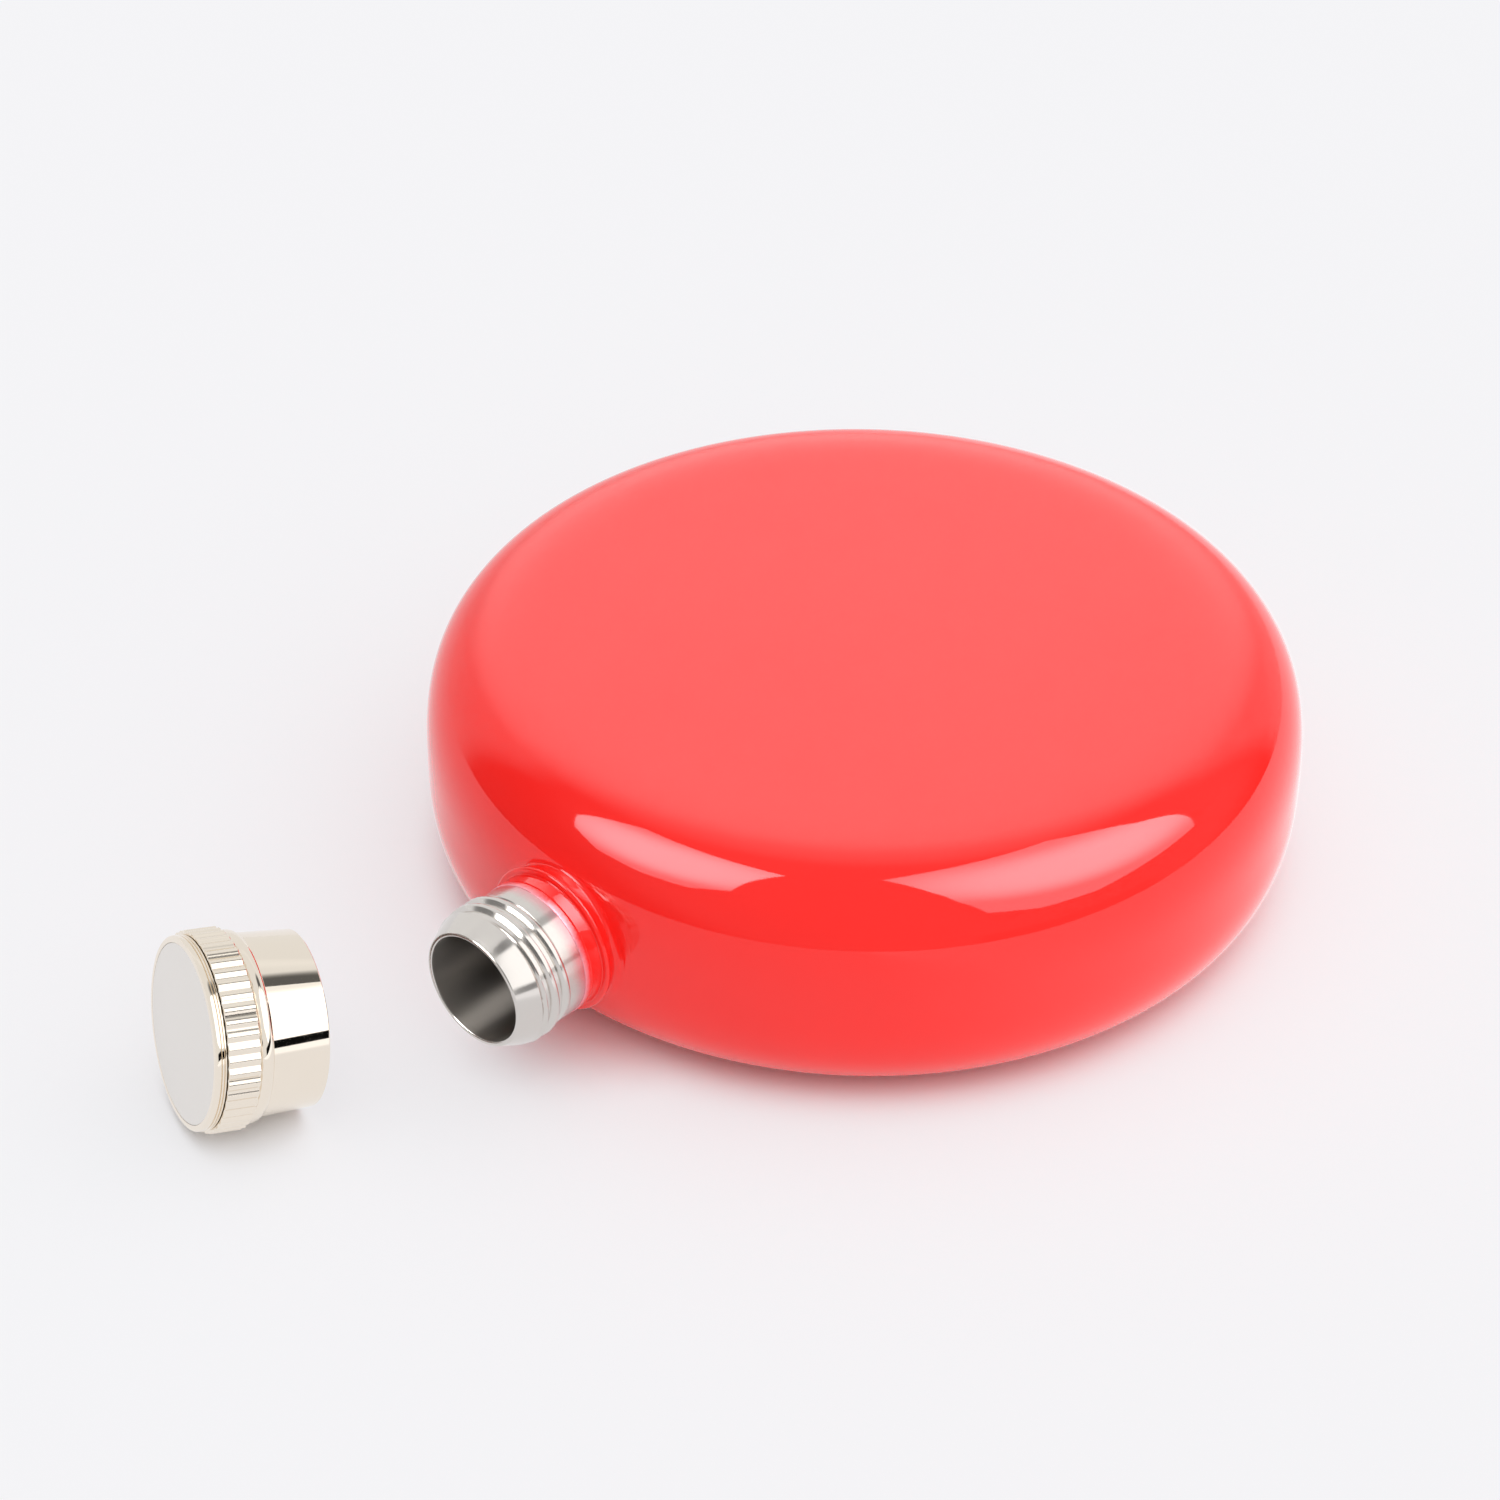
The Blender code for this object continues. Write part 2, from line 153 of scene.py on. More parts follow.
def node(tree, kind, **settings):
    """Adds a shader node and sets its properties; a name with a leading in_ sets an input instead."""
    added = tree.nodes.new(kind)
    for key, value in settings.items():
        if key.startswith("in_"):
            slot = key[3:]
            added.inputs[int(slot) if slot.isdigit() else slot.replace("_", " ")].default_value = value
        else:
            setattr(added, key, value)
    return added


def fed(tree, value, slot):
    """Gives an input a link from a socket, or a plain number."""
    if isinstance(value, bpy.types.NodeSocket):
        tree.links.new(value, slot)
    else:
        slot.default_value = value


def worked(tree, operation, *values):
    """A math node on sockets or plain numbers."""
    result = node(tree, "ShaderNodeMath", operation=operation)
    for value, slot in zip(values, result.inputs):
        fed(tree, value, slot)
    return result.outputs["Value"]


def masked(tree, source, low, high, top=1.0):
    """A smooth step of a number, from 0 at low to the top at high."""
    step = node(tree, "ShaderNodeMapRange", interpolation_type="SMOOTHSTEP", in_To_Max=top)
    fed(tree, source, step.inputs["Value"])
    fed(tree, low, step.inputs["From Min"])
    fed(tree, high, step.inputs["From Max"])
    return step.outputs["Result"]


def own_coordinates(tree, place):
    """Object coordinates brought into a piece's own frame, in metres, with its axis along Z."""
    source = node(tree, "ShaderNodeTexCoord")
    turn = node(tree, "ShaderNodeMapping", vector_type="TEXTURE")
    turn.inputs["Location"].default_value = place.to_translation()
    turn.inputs["Rotation"].default_value = place.to_euler()
    tree.links.new(source.outputs["Object"], turn.inputs["Vector"])
    return turn.outputs["Vector"]


def new_group(name, inputs, outputs):
    """An empty node group with named number and vector sockets, and its input and output nodes."""
    group = bpy.data.node_groups.new(name, "ShaderNodeTree")
    for socket, kind, value in inputs:
        made = group.interface.new_socket(socket, in_out="INPUT", socket_type=kind)
        if value is not None:
            made.default_value = value
    for socket, kind in outputs:
        group.interface.new_socket(socket, in_out="OUTPUT", socket_type=kind)
    return group, group.nodes.new("NodeGroupInput"), group.nodes.new("NodeGroupOutput")


def handling_marks_group():
    """Faint smears and dust of a thing that is handled: a mask from 0, clean, to 1, smeared."""
    group, entry, leave = new_group(
        "handling_marks",
        (
            ("Vector", "NodeSocketVector", None),
            ("Size", "NodeSocketFloat", 90.0),
            ("Cover", "NodeSocketFloat", 0.5),
        ),
        (("Mask", "NodeSocketFloat"),),
    )
    smear = node(group, "ShaderNodeTexNoise", in_Detail=5.0, in_Roughness=0.62, in_Distortion=1.4)
    group.links.new(entry.outputs["Vector"], smear.inputs["Vector"])
    group.links.new(entry.outputs["Size"], smear.inputs["Scale"])
    start = worked(group, "SUBTRACT", 1.0, entry.outputs["Cover"])
    group.links.new(masked(group, smear.outputs["Fac"], start, SMEAR_FULL), leave.inputs["Mask"])
    return group


def placed_group(tree, group, **values):
    """A node group placed in a material, with its own values."""
    used = tree.nodes.new("ShaderNodeGroup")
    used.node_tree = group
    for key, value in values.items():
        used.inputs[key].default_value = value
    return used


def roughened(tree, shader, mask, clean, marked):
    """Roughness that goes from the clean value to the marked one with a mask."""
    spread = node(tree, "ShaderNodeMapRange", in_To_Min=clean, in_To_Max=marked)
    tree.links.new(mask, spread.inputs["Value"])
    tree.links.new(spread.outputs["Result"], shader.inputs["Roughness"])


handling_marks = handling_marks_group()


def red_lacquer():
    """Deep gloss lacquer: pigment under a clear skin, with a trace of orange peel and of handling."""
    material, tree, shader = material_named("red_lacquer")
    where = node(tree, "ShaderNodeTexCoord").outputs["Object"]
    cloud = node(tree, "ShaderNodeTexNoise", in_Scale=38.0, in_Detail=2.0)
    tree.links.new(where, cloud.inputs["Vector"])
    tint = node(tree, "ShaderNodeMix", data_type="RGBA")
    tint.inputs["A"].default_value = (*LACQUER_DEEP_RED, 1.0)
    tint.inputs["B"].default_value = (*LACQUER_RED, 1.0)
    blend = node(tree, "ShaderNodeMapRange", in_From_Min=0.25, in_From_Max=0.55, in_To_Min=0.6, in_To_Max=1.0)
    tree.links.new(cloud.outputs["Fac"], blend.inputs["Value"])
    tree.links.new(blend.outputs["Result"], tint.inputs["Factor"])
    tree.links.new(tint.outputs["Result"], shader.inputs["Base Color"])
    marks = placed_group(tree, handling_marks, Size=70.0, Cover=0.45)
    tree.links.new(where, marks.inputs["Vector"])
    roughened(tree, shader, marks.outputs["Mask"], LACQUER_BASE_ROUGHNESS, LACQUER_SMEARED_ROUGHNESS)
    peel = node(tree, "ShaderNodeTexNoise", in_Scale=620.0, in_Detail=1.0)
    tree.links.new(where, peel.inputs["Vector"])
    bump = node(tree, "ShaderNodeBump", in_Strength=0.5, in_Distance=0.004 * MM)
    tree.links.new(peel.outputs["Fac"], bump.inputs["Height"])
    tree.links.new(bump.outputs["Normal"], shader.inputs["Normal"])
    shader.inputs["Specular IOR Level"].default_value = 0.0
    shader.inputs["Coat Weight"].default_value = 1.0
    shader.inputs["Coat Roughness"].default_value = LACQUER_COAT_ROUGHNESS
    shader.inputs["Coat IOR"].default_value = LACQUER_COAT_IOR
    return material


def turning_marks_group():
    """Fine rings that a lathe tool leaves round a piece's own Z: a height, and a mask for the finish."""
    group, entry, leave = new_group(
        "turning_marks",
        (("Vector", "NodeSocketVector", None), ("Rings", "NodeSocketFloat", 4000.0)),
        (("Height", "NodeSocketFloat"), ("Mask", "NodeSocketFloat")),
    )
    split = node(group, "ShaderNodeSeparateXYZ")
    group.links.new(entry.outputs["Vector"], split.inputs["Vector"])
    flat = node(group, "ShaderNodeCombineXYZ")
    group.links.new(split.outputs["X"], flat.inputs["X"])
    group.links.new(split.outputs["Y"], flat.inputs["Y"])
    radius = node(group, "ShaderNodeVectorMath", operation="LENGTH")
    group.links.new(flat.outputs["Vector"], radius.inputs[0])
    across = node(group, "ShaderNodeCombineXYZ")
    group.links.new(radius.outputs["Value"], across.inputs["X"])
    group.links.new(split.outputs["Z"], across.inputs["Y"])
    rings = node(group, "ShaderNodeTexNoise", noise_dimensions="2D", in_Detail=3.0, in_Roughness=0.7)
    group.links.new(across.outputs["Vector"], rings.inputs["Vector"])
    group.links.new(entry.outputs["Rings"], rings.inputs["Scale"])
    group.links.new(rings.outputs["Fac"], leave.inputs["Height"])
    group.links.new(rings.outputs["Fac"], leave.inputs["Mask"])
    return group


turning_marks = turning_marks_group()


def machined_metal(name, place, colour, roughness, rings, depth, stretch=0.0):
    """Bare metal with fine rings of turning or rolling, and faint smears. A stretch draws its gloss out."""
    material, tree, shader = material_named(name)
    where = own_coordinates(tree, place)
    shader.inputs["Base Color"].default_value = (*colour, 1.0)
    shader.inputs["Metallic"].default_value = 1.0
    lines = placed_group(tree, turning_marks, Rings=rings)
    tree.links.new(where, lines.inputs["Vector"])
    marks = placed_group(tree, handling_marks, Size=260.0, Cover=0.5)
    tree.links.new(where, marks.inputs["Vector"])
    rubbed = worked(tree, "MULTIPLY_ADD", lines.outputs["Mask"], 0.5, marks.outputs["Mask"])
    roughened(tree, shader, rubbed, roughness - METAL_SMEAR / 2, roughness + METAL_SMEAR)
    bump = node(tree, "ShaderNodeBump", in_Strength=1.0, in_Distance=depth)
    tree.links.new(lines.outputs["Height"], bump.inputs["Height"])
    tree.links.new(bump.outputs["Normal"], shader.inputs["Normal"])
    if stretch:
        shader.inputs["Anisotropic"].default_value = stretch
        shader.inputs["Anisotropic Rotation"].default_value = 0.25
        around = node(tree, "ShaderNodeTangent", direction_type="RADIAL", axis="Y")
        tree.links.new(around.outputs["Tangent"], shader.inputs["Tangent"])
    return material


def drilled(piece, name, radius, depth, place):
    """Cuts a round hole along the place's Z and applies it, with no corner on the piece's own lines."""
    bore = bmesh.new()
    bmesh.ops.create_cone(
        bore, cap_ends=True, segments=DRILL_SIDES, radius1=radius, radius2=radius, depth=depth,
    )
    drill = piece_from(bore, name, place @ Matrix.Rotation(math.pi / DRILL_SIDES, 4, "Z"), ())
    cut = piece.modifiers.new(name, "BOOLEAN")
    cut.operation = "DIFFERENCE"
    cut.solver = "EXACT"
    cut.object = drill
    settled(piece)
    bpy.data.objects.remove(drill)


lacquer = red_lacquer()
bare_sheet = machined_metal(
    "bare_sheet", middle, colour=(0.45, 0.44, 0.42), roughness=0.38, rings=1500.0, depth=0.003 * MM,
)

half = shoulder()
vessel = piece_from(
    turned(half + [(radius, -height) for radius, height in reversed(half[:-1])], VESSEL_STEPS),
    "lacquered_vessel", middle, (lacquer, bare_sheet),
)
sheet = vessel.modifiers.new("Sheet", "SOLIDIFY")
sheet.thickness = SHELL_WALL
sheet.offset = -1.0
sheet.use_even_offset = True
sheet.material_offset = 1

# Local +Z of what sits on the neck points out of the mouth.
along_neck = middle @ Matrix.Rotation(math.radians(90.0), 4, "X")
neck_foot = along_neck @ Matrix.Translation((0, 0, vessel_radius))
drilled(vessel, "neck_hole", NECK_HOLE_RADIUS, NECK_HOLE_DEPTH, neck_foot)
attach(vessel, "flask")
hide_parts("upper_shell", "lower_shell")

# Seam weld
# The root of the weld that joins the two halves: a low bead of bare metal round the inside of the seam.
# It is made by the welding of the halves, and only a look through the neck could show it.
weld_root = frame["nodes"]["seam_weld"]
weld_root.data.materials.clear()
weld_root.data.materials.append(machined_metal(
    "raw_weld", middle, colour=(0.40, 0.39, 0.37), roughness=0.45, rings=900.0, depth=0.02 * MM,
))

# Lacquered collar
# The foot of the neck: a smooth fillet of weld, the neck's flange and the land before its bare band. They are
# steel, ground and sprayed together with the vessel, and the spray ends at a masked edge, soft and pinkish.
COLLAR_STEPS = 192
FOOT_RADIUS = 9.6 * MM
FOOT_LIFT = 0.015 * MM
FLANGE_RADIUS = 8.2 * MM
FLANGE_BACK = 48.0 * MM
FLANGE_FRONT = 48.6 * MM
LAND_RADIUS = 7.5 * MM
LAND_END = 51.0 * MM
FILLET_TOP_RADIUS = 7.8 * MM
FILLET_RISE = 0.45 * MM
FILLET_SEGMENTS = 10
BEAD_ROUND = 0.34 * MM
COLLAR_ROUNDING = 0.15 * MM
LINE_AT = 50.15 * MM
LINE_WIDTH = 0.2 * MM
LINE_DEPTH = 0.1 * MM
MASKED_RADIUS = 7.47 * MM
MASKED_EDGE = 0.03 * MM
SPRAY_THINS = 50.45 * MM
SPRAY_ENDS = 51.7 * MM
SPECK_REACH = 0.7 * MM
VEIL_PINK = (0.84, 0.36, 0.42)
VEIL_METAL = 0.35
UNDER_PAINT_RADIUS = 7.3 * MM
COLLAR_SUNK = 1.2 * MM
FOOT_TUCK = 1.0 * MM
FOOT_TUCK_DEPTH = 0.5 * MM
FOOT_SKIRT = 0.5 * MM
FOOT_SKIRT_DEPTH = 0.06 * MM


def vessel_at(radius, angle):
    """How far out the vessel's surface lies along the neck, at a radius and angle round the neck."""
    across = radius * math.cos(angle)
    up = radius * math.sin(angle)
    return math.sqrt(reach_at(up) ** 2 - across ** 2)


def arc(centre, radius, start, end, segments):
    """Points (radius, height) on a round, from the start angle to the end angle in degrees."""
    angles = [math.radians(start + (end - start) * step / segments) for step in range(segments + 1)]
    return [(centre[0] + radius * math.cos(a), centre[1] + radius * math.sin(a)) for a in angles]


def collar_section(angle):
    """Half section of the collar at one angle round the neck, from under the vessel's skin outwards."""
    surface_out = vessel_at(FOOT_RADIUS, angle)
    surface_in = vessel_at(FLANGE_RADIUS, angle)
    top = surface_in + FILLET_RISE
    section = [
        (UNDER_PAINT_RADIUS, surface_in - COLLAR_SUNK),
        (FOOT_RADIUS - FOOT_TUCK, surface_out - FOOT_TUCK_DEPTH),
        (FOOT_RADIUS + FOOT_SKIRT, vessel_at(FOOT_RADIUS + FOOT_SKIRT, angle) - FOOT_SKIRT_DEPTH),
        (FOOT_RADIUS, surface_out + FOOT_LIFT),
    ]
    for step in range(1, FILLET_SEGMENTS + 1):
        t = step / FILLET_SEGMENTS
        radius = (1 - t) ** 2 * FOOT_RADIUS + (2 * t * (1 - t) + t * t) * FILLET_TOP_RADIUS
        section.append((radius, (1 - t) ** 2 * surface_out + 2 * t * (1 - t) * surface_in + t * t * top))
    bead = (FLANGE_RADIUS - BEAD_ROUND, (FLANGE_BACK + FLANGE_FRONT) / 2)
    section += arc(bead, BEAD_ROUND, -70, 70, segments=8)
    edge = COLLAR_ROUNDING
    section += arc((LAND_RADIUS + edge, FLANGE_FRONT + edge), edge, 250, 180, segments=3)
    section += [
        (LAND_RADIUS, LINE_AT - LINE_WIDTH / 2),
        (LAND_RADIUS - LINE_DEPTH, LINE_AT),
        (MASKED_RADIUS, LINE_AT + LINE_WIDTH / 2),
    ]
    section += arc((MASKED_RADIUS - MASKED_EDGE, LAND_END - MASKED_EDGE), MASKED_EDGE, 0, 80, segments=3)
    section.append((UNDER_PAINT_RADIUS, LAND_END - MASKED_EDGE / 2))
    return section


def lofted(section_at, steps):
    """Rings round Z through the points of a section that changes with the angle, closed into one body."""
    shape = bmesh.new()
    sections = [section_at(math.tau * step / steps) for step in range(steps)]
    ring = bmesh.ops.create_circle(shape, segments=steps, radius=1.0)["verts"]
    ring.sort(key=lambda corner: math.atan2(corner.co.y, corner.co.x) % math.tau)
    edges = list(shape.edges)
    first_edges = edges
    for index in range(len(sections[0])):
        if index:
            made = bmesh.ops.extrude_edge_only(shape, edges=edges)["geom"]
            above = [item for item in made if isinstance(item, bmesh.types.BMVert)]
            edges = [item for item in made if isinstance(item, bmesh.types.BMEdge)]
            ring = sorted(above, key=lambda corner: math.atan2(corner.co.y, corner.co.x) % math.tau)
        for step, corner in enumerate(ring):
            radius, height = sections[step][index]
            turn = math.tau * step / steps
            corner.co = (radius * math.cos(turn), radius * math.sin(turn), height)
    bmesh.ops.bridge_loops(shape, edges=first_edges + edges)
    bmesh.ops.recalc_face_normals(shape, faces=shape.faces)
    return shape


def spray_edge_group():
    """The soft end of a spray along a piece's own Z: a mask from 1, painted, to 0, bare, in specks."""
    group, entry, leave = new_group(
        "spray_edge",
        (
            ("Vector", "NodeSocketVector", None),
            ("Start", "NodeSocketFloat", 0.0),
            ("End", "NodeSocketFloat", 0.001),
        ),
        (("Mask", "NodeSocketFloat"),),
    )
    split = node(group, "ShaderNodeSeparateXYZ")
    group.links.new(entry.outputs["Vector"], split.inputs["Vector"])
    specks = node(group, "ShaderNodeTexNoise", in_Scale=3200.0, in_Detail=3.0, in_Roughness=0.7)
    group.links.new(entry.outputs["Vector"], specks.inputs["Vector"])
    along = worked(group, "MULTIPLY_ADD", specks.outputs["Fac"], SPECK_REACH, split.outputs["Z"])
    fade = masked(group, along, entry.outputs["End"], entry.outputs["Start"])
    group.links.new(fade, leave.inputs["Mask"])
    return group


spray_edge = spray_edge_group()


def faded_lacquer():
    """The vessel's lacquer, thinned out to a pinkish veil over bright steel at its masked edge."""
    material = lacquer.copy()
    material.name = "collar_lacquer"
    tree = material.node_tree
    shader = tree.nodes["Principled BSDF"]
    edge = placed_group(tree, spray_edge, Start=SPRAY_THINS, End=SPRAY_ENDS)
    tree.links.new(own_coordinates(tree, along_neck), edge.inputs["Vector"])
    veil = node(tree, "ShaderNodeMix", data_type="RGBA")
    veil.inputs["A"].default_value = (*VEIL_PINK, 1.0)
    tree.links.new(shader.inputs["Base Color"].links[0].from_socket, veil.inputs["B"])
    tree.links.new(edge.outputs["Mask"], veil.inputs["Factor"])
    tree.links.new(veil.outputs["Result"], shader.inputs["Base Color"])
    through = node(tree, "ShaderNodeMapRange", in_To_Min=VEIL_METAL, in_To_Max=0.0)
    tree.links.new(edge.outputs["Mask"], through.inputs["Value"])
    tree.links.new(through.outputs["Result"], shader.inputs["Metallic"])
    return material


collar = piece_from(lofted(collar_section, COLLAR_STEPS), "lacquered_collar", along_neck, (faded_lacquer(),))
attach(collar, "flask")
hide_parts("neck_weld")

# Threaded neck
# A spout turned from stainless bar: rounded rim, coned lip, relief, a right-hand thread and a bare band, with
# a spigot through the vessel's wall. Its bore keeps the rings of the drill and has a darker steel colour,
# which is painted shade in the hollow; its outside is polished.
NECK_STEPS = 160
BORE_RADIUS = 6.0 * MM
BORE_LEAD = 0.12 * MM
MOUTH_RADIUS = 6.55 * MM
RIM_ROUNDING = 0.2 * MM
LIP_RADIUS = 7.6 * MM
LIP_LENGTH = 2.4 * MM
LIP_EDGE = 0.05 * MM
LIP_UNDERCUT = 0.06 * MM
BAND_RADIUS = 7.42 * MM
BAND_END = 53.3 * MM
BAND_SUNK = 0.6 * MM
RELIEF_START = 56.8 * MM
RELIEF_SLOPE = 1.5
RELIEF_SUNK = 0.05 * MM
THREAD_CREST_RADIUS = 7.8 * MM
THREAD_CORE_RADIUS = 7.31 * MM
THREAD_PITCH = 1.6 * MM
THREAD_START = 53.42 * MM
THREAD_START_ANGLE = -70.0
THREAD_TURNS = 2.5
THREAD_STEPS = 96
THREAD_FADE = 0.1
THREAD_FOOT = 0.58 * MM
THREAD_LAND = 0.25 * MM
RIDGE_ROOT = 0.15 * MM
RIDGE_ROUNDING = 0.3
RUN_OUT_SUNK = 0.02 * MM
SPIGOT_RADIUS = 7.2 * MM
SPIGOT_SUNK = 0.8 * MM
BORE_NEARNESS = 0.05 * MM
STEEL = (0.66, 0.625, 0.59)
DRIFT_START = 51.25 * MM
DRIFT_END = 53.0 * MM
DRIFT_PINK = (0.80, 0.40, 0.42)

spigot_end = -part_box("neck")[1].y
mouth = -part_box("neck")[0].y
relief_end = mouth - LIP_LENGTH
lip_lean = math.degrees(math.atan2(LIP_RADIUS - MOUTH_RADIUS, LIP_LENGTH))
rim_middle = mouth - RIM_ROUNDING
neck_profile = [(BORE_RADIUS, spigot_end), (BORE_RADIUS, rim_middle - BORE_LEAD)]
neck_profile += arc((BORE_RADIUS + RIM_ROUNDING, rim_middle), RIM_ROUNDING, 180, 90, segments=5)
neck_profile += arc((MOUTH_RADIUS - RIM_ROUNDING, rim_middle), RIM_ROUNDING, 90, lip_lean, segments=5)
neck_profile += arc((LIP_RADIUS - LIP_EDGE, relief_end + LIP_EDGE), LIP_EDGE, lip_lean, -80, segments=5)
neck_profile += [
    (THREAD_CORE_RADIUS, relief_end - LIP_UNDERCUT),
    (THREAD_CORE_RADIUS, BAND_END + BAND_RADIUS - THREAD_CORE_RADIUS),
    (BAND_RADIUS, BAND_END),
    (BAND_RADIUS, LAND_END - BAND_SUNK),
    (SPIGOT_RADIUS, LAND_END - SPIGOT_SUNK),
    (SPIGOT_RADIUS, spigot_end),
]
spout_shape = turned(neck_profile, NECK_STEPS, closed=True)


def thread(crest, core, start, foot, land):
    """A right-hand ridge spun up Z, closed at both ends, and run out at both ends like a real cut thread."""
    ridge = bmesh.new()
    sunk = core - math.copysign(RIDGE_ROOT, crest - core)
    outline = [(sunk, -foot), (core, -foot), (crest, -land), (crest, land), (core, foot), (sunk, foot)]
    corners = [ridge.verts.new((radius, 0.0, height)) for radius, height in outline]
    ridge.faces.new(corners)
    bmesh.ops.bevel(
        ridge, geom=[corners[2], corners[3]], offset=land * RIDGE_ROUNDING, affect="VERTICES", segments=3,
        profile=0.5, material=-1,
    )
    face = ridge.faces[:][0]
    section = list(face.verts)
    steps = round(THREAD_STEPS * THREAD_TURNS)
    bmesh.ops.spin(
        ridge, geom=[face], cent=(0, 0, 0), axis=(0, 0, 1), dvec=(0, 0, THREAD_PITCH * THREAD_TURNS / steps),
        angle=math.tau * THREAD_TURNS, steps=steps, use_merge=False, use_duplicate=False,
    )
    ridge.verts.index_update()
    count = len(section)
    for index, corner in enumerate(ridge.verts):
        share = (index // count) / steps
        ramp = min(1.0, share / THREAD_FADE, (1 - share) / THREAD_FADE)
        ease = ramp * ramp * (3 - 2 * ramp)
        flat = Vector((corner.co.x, corner.co.y, 0.0))
        rise = flat.length - core
        if rise * (crest - core) > 0:
            flat.length = core + rise * ease - math.copysign(RUN_OUT_SUNK, crest - core) * (1 - ease)
            corner.co = (flat.x, flat.y, corner.co.z)
    start_turn = Matrix.Rotation(math.radians(THREAD_START_ANGLE), 3, "Z")
    bmesh.ops.rotate(ridge, verts=ridge.verts, matrix=start_turn)
    bmesh.ops.translate(ridge, verts=ridge.verts, vec=(0, 0, start))
    bmesh.ops.recalc_face_normals(ridge, faces=ridge.faces)
    return ridge


def relieved(ridge):
    """Cuts a ridge down where the neck's relief cone meets it, so that it runs out under the lip."""
    for corner in ridge.verts:
        flat = Vector((corner.co.x, corner.co.y, 0.0))
        cone = THREAD_CREST_RADIUS - (corner.co.z - RELIEF_START) * RELIEF_SLOPE
        flat.length = min(flat.length, max(cone, THREAD_CORE_RADIUS - RELIEF_SUNK))
        corner.co.x, corner.co.y = flat.x, flat.y
    return ridge


def joined(shape, other):
    """Adds one bmesh to another."""
    carrier = bpy.data.meshes.new("carrier")
    other.to_mesh(carrier)
    other.free()
    shape.from_mesh(carrier)
    bpy.data.meshes.remove(carrier)
    return shape


def oversprayed(material):
    """Lets a pink dust of lacquer drift past the masked edge, over the start of the bare band."""
    tree = material.node_tree
    shader = tree.nodes["Principled BSDF"]
    drift = placed_group(tree, spray_edge, Start=DRIFT_START, End=DRIFT_END)
    tree.links.new(own_coordinates(tree, along_neck), drift.inputs["Vector"])
    dusted = node(tree, "ShaderNodeMix", data_type="RGBA")
    dusted.inputs["A"].default_value = (*STEEL, 1.0)
    dusted.inputs["B"].default_value = (*DRIFT_PINK, 1.0)
    tree.links.new(drift.outputs["Mask"], dusted.inputs["Factor"])
    tree.links.new(dusted.outputs["Result"], shader.inputs["Base Color"])


ridge_shape = thread(THREAD_CREST_RADIUS, THREAD_CORE_RADIUS, THREAD_START, THREAD_FOOT, THREAD_LAND)
joined(spout_shape, relieved(ridge_shape))
neck_steel = machined_metal(
    "turned_steel", along_neck, colour=STEEL, roughness=0.155, rings=9000.0, depth=0.0012 * MM, stretch=0.75,
)
oversprayed(neck_steel)
# The bore's darker colour is painted shade in the hollow: the same steel as outside, given less colour.
bore_steel = machined_metal(
    "drilled_bore", along_neck, colour=(0.27, 0.245, 0.22), roughness=0.42, rings=2600.0, depth=0.005 * MM,
    stretch=1.0,
)
for face in spout_shape.faces:
    if all(math.hypot(corner.co.x, corner.co.y) < BORE_RADIUS + BORE_NEARNESS for corner in face.verts):
        face.material_index = 1
spout = piece_from(spout_shape, "threaded_neck", along_neck, (neck_steel, bore_steel))
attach(spout, "flask")
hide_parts("neck")

# Cap shell
# The screw cap's body, turned from brass bar and plated with bright nickel: a closed end with a recess for
# the disc, a rim with two fine grooves, a seat for the fluted band, a rounded bead and a plain, coned skirt.
CAP_STEPS = 192
HOLLOW_BOTTOM = 2.2 * MM
CAP_BORE = 8.65 * MM
CAP_LENGTH = 12.4 * MM
SKIRT_END_RADIUS = 9.15 * MM
SKIRT_ROOT_RADIUS = 9.5 * MM
SKIRT_ROUNDING = 0.14 * MM
CAP_EDGE = 0.08 * MM
BEAD_BOTTOM = 4.75 * MM
BEAD_TOP = 6.3 * MM
BEAD_HEIGHT = 0.45 * MM
BEAD_SEGMENTS = 14
SEAT_RADIUS = 9.45 * MM
RIM_WIDTH = 1.2 * MM
RIM_RADIUS = 10.0 * MM
RIM_CHAMFER = 0.3 * MM
GROOVE_COUNT = 2
GROOVE_DEPTH = 0.16 * MM
GROOVE_WIDTH = 0.2 * MM
DISC_RECESS_RADIUS = 9.3 * MM
DISC_RECESS = 0.9 * MM
NICKEL = (0.88, 0.80, 0.69)
NICKEL_SMEAR = 0.07

cap_joint = next(joint for joint in frame["joints"] if joint["name"] == "cap_turn")
cap_axis = Vector(cap_joint["axis"])
cap_place = Matrix.Translation(cap_joint["pos_m"]) @ cap_axis.to_track_quat("Z", "Y").to_matrix().to_4x4()


def bright_nickel(name, roughness):
    """Mirror-bright plate with a warm tint, a trace of polishing rings and of handling."""
    material, tree, shader = material_named(name)
    where = own_coordinates(tree, cap_place)
    shader.inputs["Base Color"].default_value = (*NICKEL, 1.0)
    shader.inputs["Metallic"].default_value = 1.0
    marks = placed_group(tree, handling_marks, Size=320.0, Cover=0.5)
    tree.links.new(where, marks.inputs["Vector"])
    roughened(tree, shader, marks.outputs["Mask"], roughness, roughness + NICKEL_SMEAR)
    lines = placed_group(tree, turning_marks, Rings=2600.0)
    tree.links.new(where, lines.inputs["Vector"])
    bump = node(tree, "ShaderNodeBump", in_Strength=1.0, in_Distance=0.0006 * MM)
    tree.links.new(lines.outputs["Height"], bump.inputs["Height"])
    tree.links.new(bump.outputs["Normal"], shader.inputs["Normal"])
    return material


